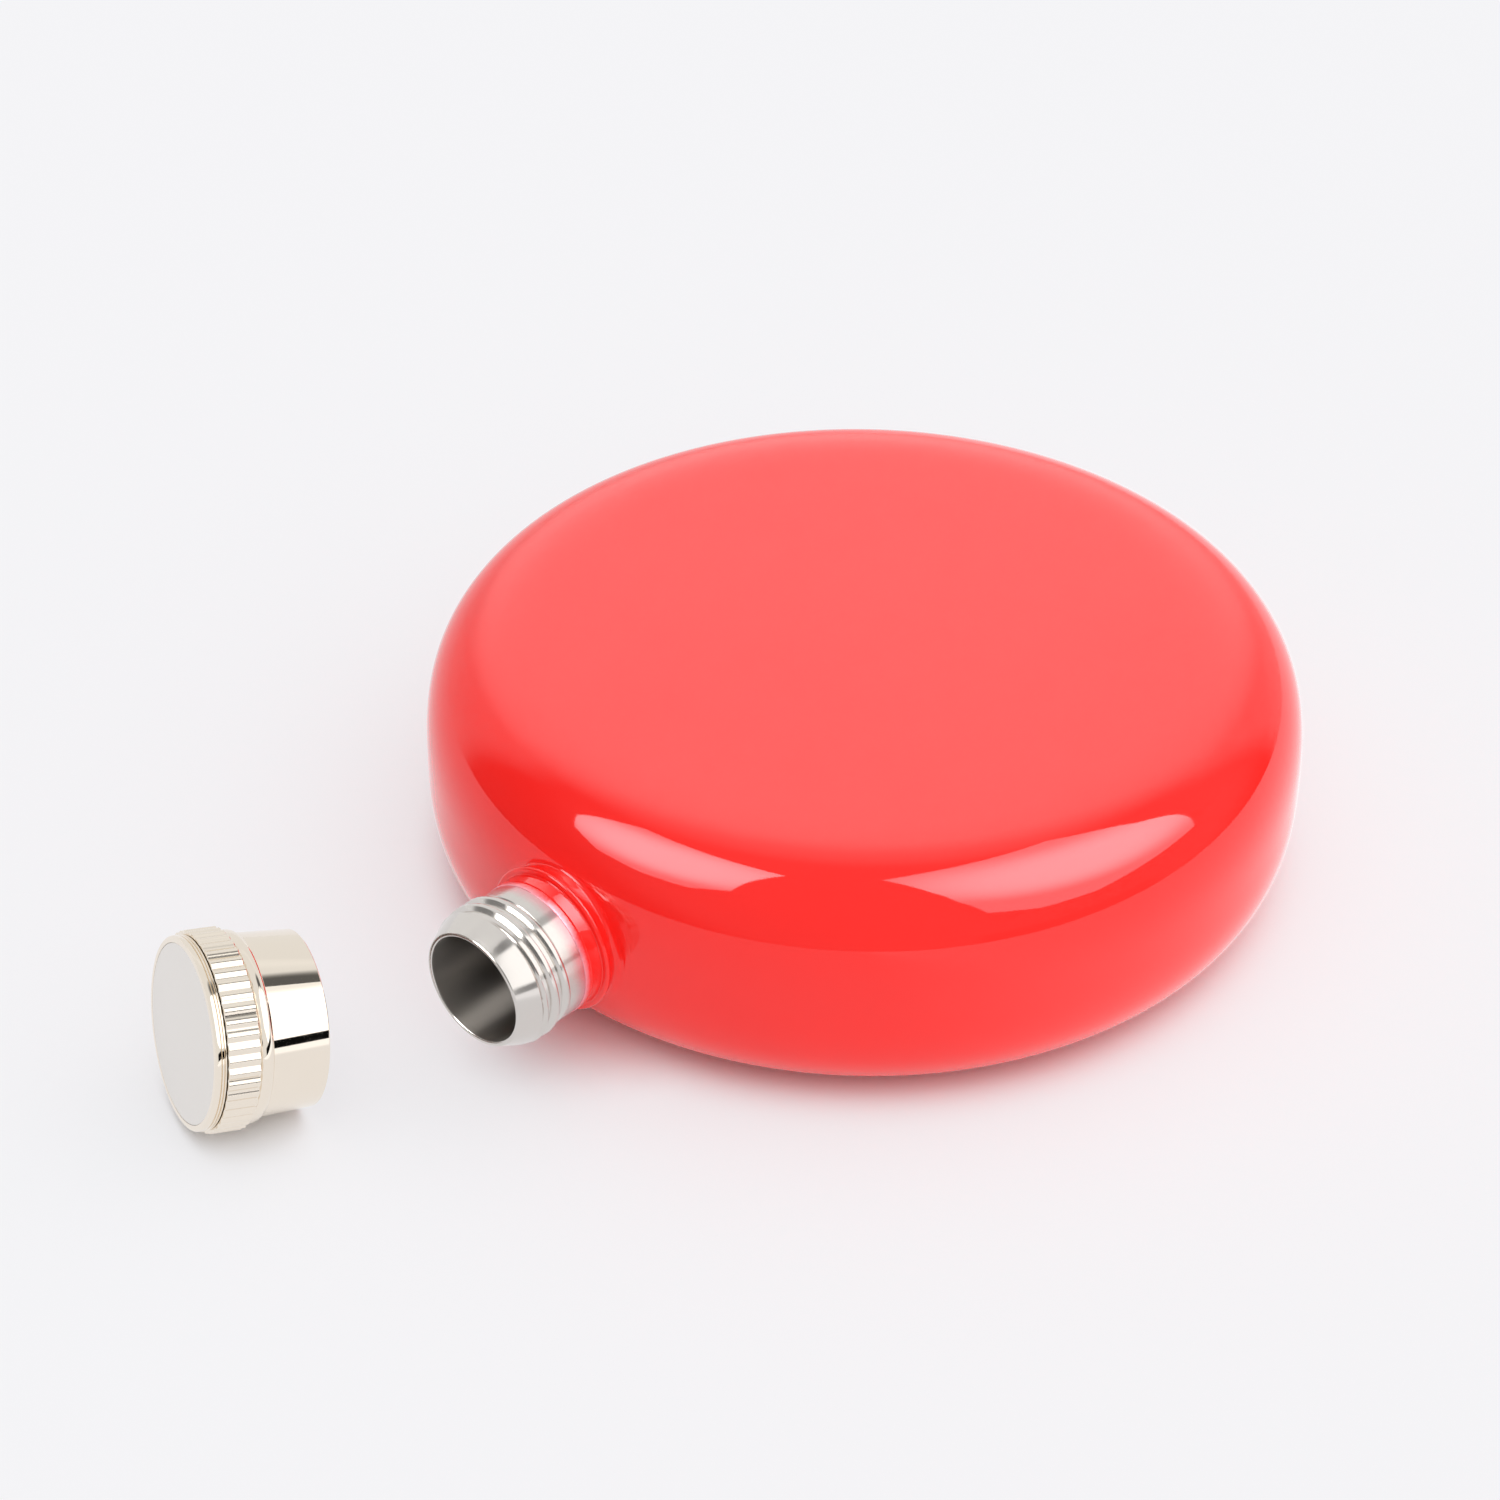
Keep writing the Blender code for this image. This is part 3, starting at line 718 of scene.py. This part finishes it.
shell_profile = [(0.0, HOLLOW_BOTTOM), (CAP_BORE, HOLLOW_BOTTOM), (CAP_BORE, CAP_LENGTH - CAP_EDGE)]
shell_profile.append((CAP_BORE + CAP_EDGE, CAP_LENGTH))
shell_profile += arc(
    (SKIRT_END_RADIUS - SKIRT_ROUNDING, CAP_LENGTH - SKIRT_ROUNDING), SKIRT_ROUNDING, 90, 0, segments=5,
)
shell_profile.append((SKIRT_ROOT_RADIUS, BEAD_TOP))
bead_width = BEAD_TOP - BEAD_BOTTOM
for step in range(1, BEAD_SEGMENTS):
    bend = math.pi * step / BEAD_SEGMENTS
    shell_profile.append((
        SKIRT_ROOT_RADIUS + BEAD_HEIGHT * math.sin(bend),
        BEAD_TOP - bead_width / 2 * (1 - math.cos(bend)),
    ))
shell_profile += [(SKIRT_ROOT_RADIUS, BEAD_BOTTOM), (SEAT_RADIUS, BEAD_BOTTOM), (SEAT_RADIUS, RIM_WIDTH)]
shell_profile += arc((RIM_RADIUS - CAP_EDGE, RIM_WIDTH - CAP_EDGE), CAP_EDGE, 90, 0, segments=3)
groove_pitch = (RIM_WIDTH - RIM_CHAMFER) / (GROOVE_COUNT + 1)
for groove in range(1, GROOVE_COUNT + 1):
    line = RIM_WIDTH - groove_pitch * groove
    shell_profile += [
        (RIM_RADIUS, line + GROOVE_WIDTH / 2),
        (RIM_RADIUS - GROOVE_DEPTH, line + GROOVE_WIDTH / 6),
        (RIM_RADIUS - GROOVE_DEPTH, line - GROOVE_WIDTH / 6),
        (RIM_RADIUS, line - GROOVE_WIDTH / 2),
    ]
shell_profile += arc((RIM_RADIUS - RIM_CHAMFER, RIM_CHAMFER), RIM_CHAMFER, 0, -90, segments=6)
shell_profile += [(DISC_RECESS_RADIUS, 0.0), (DISC_RECESS_RADIUS, DISC_RECESS), (0.0, DISC_RECESS)]
plated_nickel = bright_nickel("bright_nickel", 0.04)
cap_shell = piece_from(turned(shell_profile, CAP_STEPS), "cap_body", cap_place, (plated_nickel,))
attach(cap_shell, "cap")
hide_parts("cap_shell")

# Grip ring
# The fluted band that the fingers turn: a ring rolled with 48 narrow flutes, nickel plated and pressed on
# between the rim and the bead. The rolling leaves the flutes a little uneven.
FLUTE_COUNT = 48
FLUTE_POINTS = 10
FLUTE_ROOT_RADIUS = 10.15 * MM
FLUTE_HEIGHT = 0.28 * MM
FLUTE_FULLNESS = 1.5
FLUTE_UNEVENNESS = 0.25
GRIP_BORE = 9.75 * MM
GRIP_BOTTOM = 1.26 * MM
GRIP_TOP = 4.68 * MM
GRIP_EDGE = 0.08 * MM
ROLLING_SEED = 7

rolling = random.Random(ROLLING_SEED)
flute_sizes = [1 + FLUTE_UNEVENNESS * rolling.uniform(-1, 0) for flute in range(FLUTE_COUNT)]


def flute_rise(index):
    """How far the band stands out at one of its steps round."""
    swell = abs(math.sin(math.pi * index / FLUTE_POINTS)) ** FLUTE_FULLNESS
    return FLUTE_HEIGHT * swell * flute_sizes[index // FLUTE_POINTS % FLUTE_COUNT]


def grip_section(turn):
    """Half section of the band at one angle: its outside follows the flutes."""
    index = round(turn / math.tau * FLUTE_COUNT * FLUTE_POINTS)
    radius = FLUTE_ROOT_RADIUS + flute_rise(index)
    return [
        (GRIP_BORE, GRIP_TOP), (GRIP_BORE, GRIP_BOTTOM), (radius - GRIP_EDGE, GRIP_BOTTOM),
        (radius, GRIP_BOTTOM + GRIP_EDGE), (radius, GRIP_TOP - GRIP_EDGE), (radius - GRIP_EDGE, GRIP_TOP),
    ]


fluted_nickel = bright_nickel("fluted_nickel", 0.15)
grip_shape = lofted(grip_section, FLUTE_COUNT * FLUTE_POINTS)
grip = piece_from(grip_shape, "fluted_band", cap_place, (fluted_nickel,))
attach(grip, "cap")
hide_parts("grip_ring")

# Cap disc
# A plain disc of sheet brass, plated to a satin finish. It is pressed into the recess of the cap's end, flush
# with the rim, and has no mark on it.
DISC_RADIUS = 9.28 * MM
DISC_THICKNESS = 0.6 * MM
DISC_EDGE = 0.06 * MM

disc_profile = [(0.0, DISC_THICKNESS), (DISC_RADIUS, DISC_THICKNESS)]
disc_profile += arc((DISC_RADIUS - DISC_EDGE, DISC_EDGE), DISC_EDGE, 0, -90, segments=5)
disc_profile.append((0.0, 0.0))
satin_nickel = machined_metal(
    "satin_nickel", cap_place, colour=(0.80, 0.77, 0.73), roughness=0.34, rings=2200.0, depth=0.0025 * MM,
)
disc = piece_from(turned(disc_profile, CAP_STEPS), "satin_disc", cap_place, (satin_nickel,))
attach(disc, "cap")
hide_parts("cap_disc")

# Thread insert
# The sleeve inside the cap: thin sheet rolled to a tube with the thread that runs on the neck's, held in the
# shell by its press fit.
INSERT_BOTTOM = 4.3 * MM
INSERT_TOP = 12.0 * MM
INSERT_RADIUS = 8.35 * MM
INSERT_BORE = 8.1 * MM
INSERT_CREST = 7.85 * MM
INSERT_EDGE = 0.1 * MM
INSERT_THREAD_START = 7.8 * MM
INSERT_THREAD_FOOT = 0.32 * MM
INSERT_THREAD_LAND = 0.12 * MM

insert_profile = [
    (INSERT_BORE, INSERT_BOTTOM), (INSERT_BORE, INSERT_TOP - INSERT_EDGE),
    (INSERT_BORE + INSERT_EDGE, INSERT_TOP), (INSERT_RADIUS, INSERT_TOP), (INSERT_RADIUS, INSERT_BOTTOM),
]
insert_shape = turned(insert_profile, NECK_STEPS, closed=True)
joined(insert_shape, thread(
    INSERT_CREST, INSERT_BORE, INSERT_THREAD_START, INSERT_THREAD_FOOT, INSERT_THREAD_LAND,
))
insert_metal = machined_metal(
    "insert_metal", cap_place, colour=(0.60, 0.58, 0.54), roughness=0.22, rings=5000.0, depth=0.002 * MM,
)
insert = piece_from(insert_shape, "threaded_sleeve", cap_place, (insert_metal,))
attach(insert, "cap")
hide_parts("thread_insert")

# Seal
# A moulded disc of pale silicone that closes the mouth. It lies loose in the cap's end, and the neck's rim
# has pressed a shallow ring into it.
SEAL_BOTTOM = 2.5 * MM
SEAL_TOP = 4.0 * MM
SEAL_RADIUS = 8.35 * MM
SEAL_EDGE = 0.15 * MM
DENT_DEPTH = 0.12 * MM
DENT_WIDTH = 0.7 * MM
DENT_SEGMENTS = 8
SILICONE = (0.76, 0.76, 0.73)
SILICONE_SHADE = (0.66, 0.66, 0.62)


def silicone():
    """Matt silicone with a faint mottle and a fine grain."""
    material, tree, shader = material_named("pale_silicone")
    where = own_coordinates(tree, cap_place)
    mottle = placed_group(tree, handling_marks, Size=400.0, Cover=0.6)
    tree.links.new(where, mottle.inputs["Vector"])
    tint = node(tree, "ShaderNodeMix", data_type="RGBA")
    tint.inputs["A"].default_value = (*SILICONE, 1.0)
    tint.inputs["B"].default_value = (*SILICONE_SHADE, 1.0)
    tree.links.new(mottle.outputs["Mask"], tint.inputs["Factor"])
    tree.links.new(tint.outputs["Result"], shader.inputs["Base Color"])
    grain = node(tree, "ShaderNodeTexNoise", in_Scale=5000.0)
    tree.links.new(where, grain.inputs["Vector"])
    bump = node(tree, "ShaderNodeBump", in_Strength=0.6, in_Distance=0.01 * MM)
    tree.links.new(grain.outputs["Fac"], bump.inputs["Height"])
    tree.links.new(bump.outputs["Normal"], shader.inputs["Normal"])
    shader.inputs["Roughness"].default_value = 0.55
    return material


seal_profile = [(0.0, SEAL_TOP)]
dent_middle = (BORE_RADIUS + MOUTH_RADIUS) / 2
for step in range(DENT_SEGMENTS + 1):
    share = step / DENT_SEGMENTS
    seal_profile.append((
        dent_middle + DENT_WIDTH * (share - 0.5),
        SEAL_TOP - DENT_DEPTH * math.sin(math.pi * share) ** 2,
    ))
seal_profile += arc((SEAL_RADIUS - SEAL_EDGE, SEAL_TOP - SEAL_EDGE), SEAL_EDGE, 90, 0, segments=4)
seal_profile += arc((SEAL_RADIUS - SEAL_EDGE, SEAL_BOTTOM + SEAL_EDGE), SEAL_EDGE, 0, -90, segments=4)
seal_profile.append((0.0, SEAL_BOTTOM))
seal = piece_from(turned(seal_profile, NECK_STEPS), "silicone_seal", cap_place, (silicone(),))
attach(seal, "cap_seal")
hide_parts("seal")

# Table
# A sweep of pale card under and behind the flask, which is the studio's and no part of the object. It looks
# evenly pale but for the shadow at each piece's foot. In gloss it glows brighter on the white card's side,
# which is painted light from that card.
TABLE_SIZE = 60.0
TABLE_COLOUR = (0.922, 0.92, 0.94)
TABLE_ROUGHNESS = 0.9
CONTACT_REACH = 12 * MM
CONTACT_SAMPLES = 8
OPEN_FROM = 0.24
OPEN_TO = 0.66
OPEN_SHARE = 0.65
MIRRORED_FROM = 0.16
MIRRORED_TO = 0.5
MIRRORED_SHARE = 0.9
# Painted glow in gloss towards the white card's side: its direction, its reach and its rise.
PAINTED_GLOW_SIDE = Vector((0.74, 0.67, 0.0))
PAINTED_GLOW_REACH = 45 * MM
PAINTED_GLOW_RISE = 0.35


def pale_card():
    """Card that keeps its shadows, lifted to its own paleness where nothing stands close above it; a painted
    glow makes it brighter in gloss towards the white card's side.
    """
    material, tree, shader = material_named("pale_card")
    shader.inputs["Base Color"].default_value = (*TABLE_COLOUR, 1.0)
    shader.inputs["Roughness"].default_value = TABLE_ROUGHNESS
    shader.inputs["Specular IOR Level"].default_value = 0.0
    cover = node(tree, "ShaderNodeAmbientOcclusion", samples=CONTACT_SAMPLES, in_Distance=CONTACT_REACH)
    ray = node(tree, "ShaderNodeLightPath")
    seen = masked(tree, cover.outputs["AO"], OPEN_FROM, OPEN_TO, OPEN_SHARE)
    mirrored = masked(tree, cover.outputs["AO"], MIRRORED_FROM, MIRRORED_TO, MIRRORED_SHARE)
    mirrored = worked(tree, "MULTIPLY", ray.outputs["Is Glossy Ray"], mirrored)
    paleness = worked(tree, "MULTIPLY_ADD", ray.outputs["Is Camera Ray"], seen, mirrored)
    # Painted light: in gloss the card glows brighter towards the white card's side, standing in for that
    # card's light.
    rightward = node(tree, "ShaderNodeVectorMath", operation="DOT_PRODUCT", in_1=PAINTED_GLOW_SIDE)
    tree.links.new(node(tree, "ShaderNodeTexCoord").outputs["Object"], rightward.inputs[0])
    mirrored_place = worked(tree, "MULTIPLY", rightward.outputs["Value"], ray.outputs["Is Glossy Ray"])
    strength = worked(tree, "ADD", 1.0, masked(tree, mirrored_place, 0.0, PAINTED_GLOW_REACH, PAINTED_GLOW_RISE))
    glow = node(tree, "ShaderNodeEmission", in_Color=(*TABLE_COLOUR, 1.0))
    tree.links.new(strength, glow.inputs["Strength"])
    mix = node(tree, "ShaderNodeMixShader")
    tree.links.new(paleness, mix.inputs["Fac"])
    tree.links.new(shader.outputs["BSDF"], mix.inputs[1])
    tree.links.new(glow.outputs["Emission"], mix.inputs[2])
    tree.links.new(mix.outputs["Shader"], tree.nodes["Material Output"].inputs["Surface"])
    material.cycles.emission_sampling = "NONE"
    return material


table_shape = bmesh.new()
bmesh.ops.create_grid(table_shape, x_segments=1, y_segments=1, size=TABLE_SIZE / 2)
table = piece_from(table_shape, "table", Matrix.Identity(4), (pale_card(),))

# Camera
# A long lens that looks down on the flask from the photograph's side, with a touch of roll. Its distance
# gives the photograph's perspective, and it aims a little to the mouth's side of the flask's middle.
CAMERA_AIM = Vector((-7.05 * MM, -10.61 * MM, half_thickness))
CAMERA_BEARING = math.radians(42.358)
CAMERA_PITCH = math.radians(36.641)
CAMERA_ROLL = math.radians(0.424)
CAMERA_DISTANCE = 488.4 * MM
CAMERA_LENS = 108.0

forward = Vector((
    -math.sin(CAMERA_BEARING) * math.cos(CAMERA_PITCH),
    math.cos(CAMERA_BEARING) * math.cos(CAMERA_PITCH),
    -math.sin(CAMERA_PITCH),
))
lens = bpy.data.cameras.new("camera")
lens.lens = CAMERA_LENS
lens.clip_end = 2 * TABLE_SIZE
camera = bpy.data.objects.new("camera", lens)
bpy.context.scene.collection.objects.link(camera)
camera.matrix_world = (
    Matrix.Translation(CAMERA_AIM - forward * CAMERA_DISTANCE)
    @ forward.to_track_quat("-Z", "Y").to_matrix().to_4x4()
    @ Matrix.Rotation(CAMERA_ROLL, 4, "Z")
)
bpy.context.scene.camera = camera

# Studio light
# The room is even and pale for plain surfaces, a little stronger from the camera's side. Gloss and metal
# mirror a lit backdrop on the far side, and cards that are set for the lacquer or for the bare metal alone.
CARD_DISTANCE = 4.0
INNER_TENT = 5.0
OUTER_TENT = 5.5
FILL_TENT = 6.0
NECK_TENT = 6.5
TENT_FINENESS = 3
WHITE = (1.0, 1.0, 1.0)
COOL_WHITE = (0.92, 0.93, 1.0)
BACKGROUND = (0.922, 0.92, 0.94)

# A direction is a bearing from the camera, positive to its right, and an elevation, in degrees. A spot is a
# direction, then how far from it the spot ends and how far it is full, in degrees too.
ROOM_SPOT = ((75, 62), 80, 12)
ROOM_TOP = 1.0
ROOM_LOW = 0.40
FILL_ENDS = 45
FILL_FULL = 10
BODY_FILL = 0.68
BACKDROP_SPOT = ((-177, 0), 66, 54)
BACKDROP_ENDS = 54
BACKDROP_FULL = 42
BACKDROP_LEVEL = 0.76
DARK_LEVEL = 0.12
GAP_SPOT = ((50, 4), 26, 20)
GAP_ENDS = 9.5
GAP_FULL = 8.5
GAP_SHADE = 0.96

LEFT_SOFTBOX = ((-97, 45), (-81, 40), (-66, 41), (-53, 46), (-47, 58), (-138, 79), (-147, 60), (-114, 52))
LEFT_SOFTBOX_SPOT = ((-93, 65), 25, 4)
LEFT_SOFTBOX_EDGE = 2.6
LEFT_SOFTBOX_RISE = 5.2
RIGHT_SOFTBOX = ((165, 80), (158, 57), (128, 55), (95, 28), (60, 25), (45, 28), (33, 38), (34, 60), (50, 78))
RIGHT_SOFTBOX_SPOT = ((93, 61), 31, 4)
RIGHT_SOFTBOX_EDGE = 2.5
RIGHT_SOFTBOX_RISE = 5.0
FRONT_SPOT = ((30, 50), 85, 60)
FRONT_LEVEL = 0.32
FAR_GLOW_SPOT = ((180, 33), 34.5, 14.5)
FAR_GLOW_LEVEL = 0.85

WHITE_CARD = ((27, 33), (30, 58), (62, 68), (103, 57), (108, 30), (62, 9), (46, 9.5))
WHITE_CARD_SPOT = ((60, 35), 80, 60)
WHITE_CARD_LEVEL = 0.95
WHITE_CARD_EDGE_SPOT = ((109, 55.5), 15, 6)

NECK_ROOM = 0.83
NECK_BACKDROP_SHADE = 0.88
NECK_GAP_SHADE = 0.6
NECK_SHADES = (
    (((0, 73), 11, 4), 0.85),
    (((120, 57), 9, 4), 0.45),
    (((-14, 20), 31, 20), 0.88),
    (((-90, 17), 19, 11), 0.8),
)
NECK_RIGHT_CARD = (
    (22, 11.5), (8, 45), (0, 65), (45, 69), (85, 66), (113, 54), (122, 20), (118, 4), (81, 6.5), (40, 10.5),
)
NECK_RIGHT_SPOT = ((60, 35), 95, 75)
NECK_RIGHT_LEVEL = 0.62
NECK_LEFT_CARD = ((-52, 3), (-45, 14), (-41, 26), (-33, 45), (-62, 52), (-84, 40), (-75, 24), (-71, 4))
NECK_LEFT_SPOT = ((-60, 20), 80, 60)
NECK_LEFT_LEVEL = 8.0

toward_camera = -Vector((forward.x, forward.y, 0.0)).normalized()
camera_right = Vector((-toward_camera.y, toward_camera.x, 0.0))
upward = Vector((0.0, 0.0, 1.0))


def direction(bearing, elevation):
    """Unit vector from the flask at a bearing from the camera and an elevation, in degrees."""
    turn = math.radians(bearing)
    rise = math.radians(elevation)
    level = toward_camera * math.cos(turn) + camera_right * math.sin(turn)
    return level * math.cos(rise) + upward * math.sin(rise)


def sine(degrees):
    return math.sin(math.radians(degrees))


def cosine(degrees):
    return math.cos(math.radians(degrees))


def facing(tree, looking, target):
    """Cosine between a looking direction and a target direction."""
    unit = node(tree, "ShaderNodeVectorMath", operation="NORMALIZE")
    tree.links.new(looking, unit.inputs[0])
    dot = node(tree, "ShaderNodeVectorMath", operation="DOT_PRODUCT")
    dot.inputs[1].default_value = target
    tree.links.new(unit.outputs["Vector"], dot.inputs[0])
    return dot.outputs["Value"]


def receivers(name, pieces):
    """The pieces that a card lights."""
    group = bpy.data.collections.new(name)
    for piece in pieces:
        group.objects.link(piece)
    return group


def near(tree, looking, spot):
    """A share of 1 where a spot is full, down to 0 where it ends."""
    centre, ends, full = spot
    return masked(tree, facing(tree, looking, direction(*centre)), cosine(ends), cosine(full))


def below(tree, looking, ends, full):
    """A share of 1 below the elevation at which it is full, down to 0 where it ends."""
    return masked(tree, facing(tree, looking, upward), sine(ends), sine(full))


def without(tree, share, *holes):
    """A share with the places of other shares taken out of it."""
    for hole in holes:
        share = worked(tree, "MULTIPLY", share, worked(tree, "SUBTRACT", 1.0, hole))
    return share


def glowing(shape, name, lit_pieces, colour, shade, gloss=True):
    """A clear sheet of light round the flask that only some pieces see, by gloss or by plain colour."""
    material = bpy.data.materials.new(name)
    material.use_nodes = True
    material.cycles.emission_sampling = "NONE"
    tree = material.node_tree
    tree.nodes.clear()
    glow = node(tree, "ShaderNodeEmission", in_Color=(*colour, 1.0))
    looking = node(tree, "ShaderNodeTexCoord").outputs["Object"]
    tree.links.new(shade(tree, looking), glow.inputs["Strength"])
    both = node(tree, "ShaderNodeAddShader")
    tree.links.new(glow.outputs["Emission"], both.inputs[0])
    tree.links.new(node(tree, "ShaderNodeBsdfTransparent").outputs["BSDF"], both.inputs[1])
    outlet = node(tree, "ShaderNodeOutputMaterial")
    tree.links.new(both.outputs["Shader"], outlet.inputs["Surface"])
    panel = piece_from(shape, name, Matrix.Identity(4), (material,))
    panel.visible_camera = False
    panel.visible_glossy = gloss
    panel.visible_diffuse = not gloss
    panel.visible_shadow = False
    panel.light_linking.receiver_collection = lit_pieces


def card(corners):
    """A flat card whose corners lie in given directions."""
    panel = bmesh.new()
    panel.faces.new([panel.verts.new(direction(*corner) * CARD_DISTANCE) for corner in corners])
    return panel


def tent(radius):
    """A round tent that closes the room above the table."""
    dome = bmesh.new()
    bmesh.ops.create_icosphere(dome, subdivisions=TENT_FINENESS, radius=radius)
    return dome


def shade_of(spot, rise, edge=0.0):
    """The shade of a card: one level at its edge, and more of it towards the middle of a spot."""
    return lambda tree, looking: worked(tree, "MULTIPLY_ADD", near(tree, looking, spot), rise, edge)


def tent_for_lacquer(tree, looking):
    """A pale stretch over the camera's side, and a glow on the backdrop that the flat top mirrors."""
    front = worked(tree, "MULTIPLY", near(tree, looking, FRONT_SPOT), FRONT_LEVEL)
    return worked(tree, "MULTIPLY_ADD", near(tree, looking, FAR_GLOW_SPOT), FAR_GLOW_LEVEL, front)


def low_fill(tree, looking):
    """Light from low down, which brings the vessel's sides to the level of its top."""
    return worked(tree, "MULTIPLY", below(tree, looking, FILL_ENDS, FILL_FULL), BODY_FILL)


def backdrop_share(tree, looking):
    """The lit backdrop: the far half of the room up to about 50 degrees."""
    wide = near(tree, looking, BACKDROP_SPOT)
    return worked(tree, "MULTIPLY", wide, below(tree, looking, BACKDROP_ENDS, BACKDROP_FULL))


def gap_share(tree, looking):
    """The dark gap between the table and the card on the camera's right."""
    low = below(tree, looking, GAP_ENDS, GAP_FULL)
    return worked(tree, "MULTIPLY", low, near(tree, looking, GAP_SPOT))


def tent_for_cap(tree, looking):
    """Pale all round, but for the backdrop, the far edge of the white card and the gap under it."""
    shades = (
        backdrop_share(tree, looking), gap_share(tree, looking), near(tree, looking, WHITE_CARD_EDGE_SPOT),
    )
    return worked(tree, "MULTIPLY", without(tree, 1.0, *shades), BACKDROP_LEVEL)


def tent_for_neck(tree, looking):
    """Pale all round, but for the backdrop, the gap, two cards' far edges and the side before the mouth."""
    shades = [
        worked(tree, "MULTIPLY", backdrop_share(tree, looking), NECK_BACKDROP_SHADE),
        worked(tree, "MULTIPLY", gap_share(tree, looking), NECK_GAP_SHADE),
    ]
    shades += [worked(tree, "MULTIPLY", near(tree, looking, spot), shade) for spot, shade in NECK_SHADES]
    return worked(tree, "MULTIPLY", without(tree, 1.0, *shades), NECK_ROOM)


lacquered = receivers("lacquered_pieces", (vessel, collar))
capped = receivers("cap_pieces", (cap_shell, grip, disc, insert))
necked = receivers("neck_pieces", (spout,))
left_shade = shade_of(LEFT_SOFTBOX_SPOT, LEFT_SOFTBOX_RISE, LEFT_SOFTBOX_EDGE)
right_shade = shade_of(RIGHT_SOFTBOX_SPOT, RIGHT_SOFTBOX_RISE, RIGHT_SOFTBOX_EDGE)
white_shade = shade_of(WHITE_CARD_SPOT, WHITE_CARD_LEVEL)
neck_right_shade = shade_of(NECK_RIGHT_SPOT, NECK_RIGHT_LEVEL)
neck_left_shade = shade_of(NECK_LEFT_SPOT, NECK_LEFT_LEVEL)
glowing(card(LEFT_SOFTBOX), "softbox_left", lacquered, COOL_WHITE, left_shade)
glowing(card(RIGHT_SOFTBOX), "softbox_right", lacquered, COOL_WHITE, right_shade)
glowing(tent(OUTER_TENT), "tent_for_lacquer", lacquered, WHITE, tent_for_lacquer)
glowing(tent(FILL_TENT), "fill_for_lacquer", lacquered, WHITE, low_fill, gloss=False)
glowing(tent(INNER_TENT), "tent_for_cap", capped, WHITE, tent_for_cap)
glowing(tent(NECK_TENT), "tent_for_neck", necked, WHITE, tent_for_neck)
glowing(card(WHITE_CARD), "white_card", capped, WHITE, white_shade)
glowing(card(NECK_RIGHT_CARD), "neck_card_right", necked, WHITE, neck_right_shade)
glowing(card(NECK_LEFT_CARD), "neck_card_left", necked, WHITE, neck_left_shade)

world = bpy.data.worlds.new("studio")
world.use_nodes = True
world.cycles.sampling_method = "NONE"
room = world.node_tree
room.nodes.clear()
looking = node(room, "ShaderNodeTexCoord").outputs["Generated"]

mirrored = worked(room, "MULTIPLY_ADD", backdrop_share(room, looking), BACKDROP_LEVEL, DARK_LEVEL)
mirrored = without(room, mirrored, worked(room, "MULTIPLY", gap_share(room, looking), GAP_SHADE))
even = worked(room, "MULTIPLY_ADD", near(room, looking, ROOM_SPOT), ROOM_TOP, ROOM_LOW)
paths = node(room, "ShaderNodeLightPath")
shiny = node(room, "ShaderNodeMix", data_type="FLOAT")
room.links.new(paths.outputs["Is Glossy Ray"], shiny.inputs["Factor"])
room.links.new(even, shiny.inputs["A"])
room.links.new(mirrored, shiny.inputs["B"])
plain = node(room, "ShaderNodeBackground", in_Color=(1.0, 1.0, 1.0, 1.0))
room.links.new(shiny.outputs["Result"], plain.inputs["Strength"])
seen = node(room, "ShaderNodeBackground", in_Color=(*BACKGROUND, 1.0))
choose = node(room, "ShaderNodeMixShader")
room.links.new(paths.outputs["Is Camera Ray"], choose.inputs["Fac"])
room.links.new(plain.outputs["Background"], choose.inputs[1])
room.links.new(seen.outputs["Background"], choose.inputs[2])
outlet = node(room, "ShaderNodeOutputWorld")
room.links.new(choose.outputs["Shader"], outlet.inputs["Surface"])
bpy.context.scene.world = world
bpy.context.scene.view_settings.view_transform = "Standard"
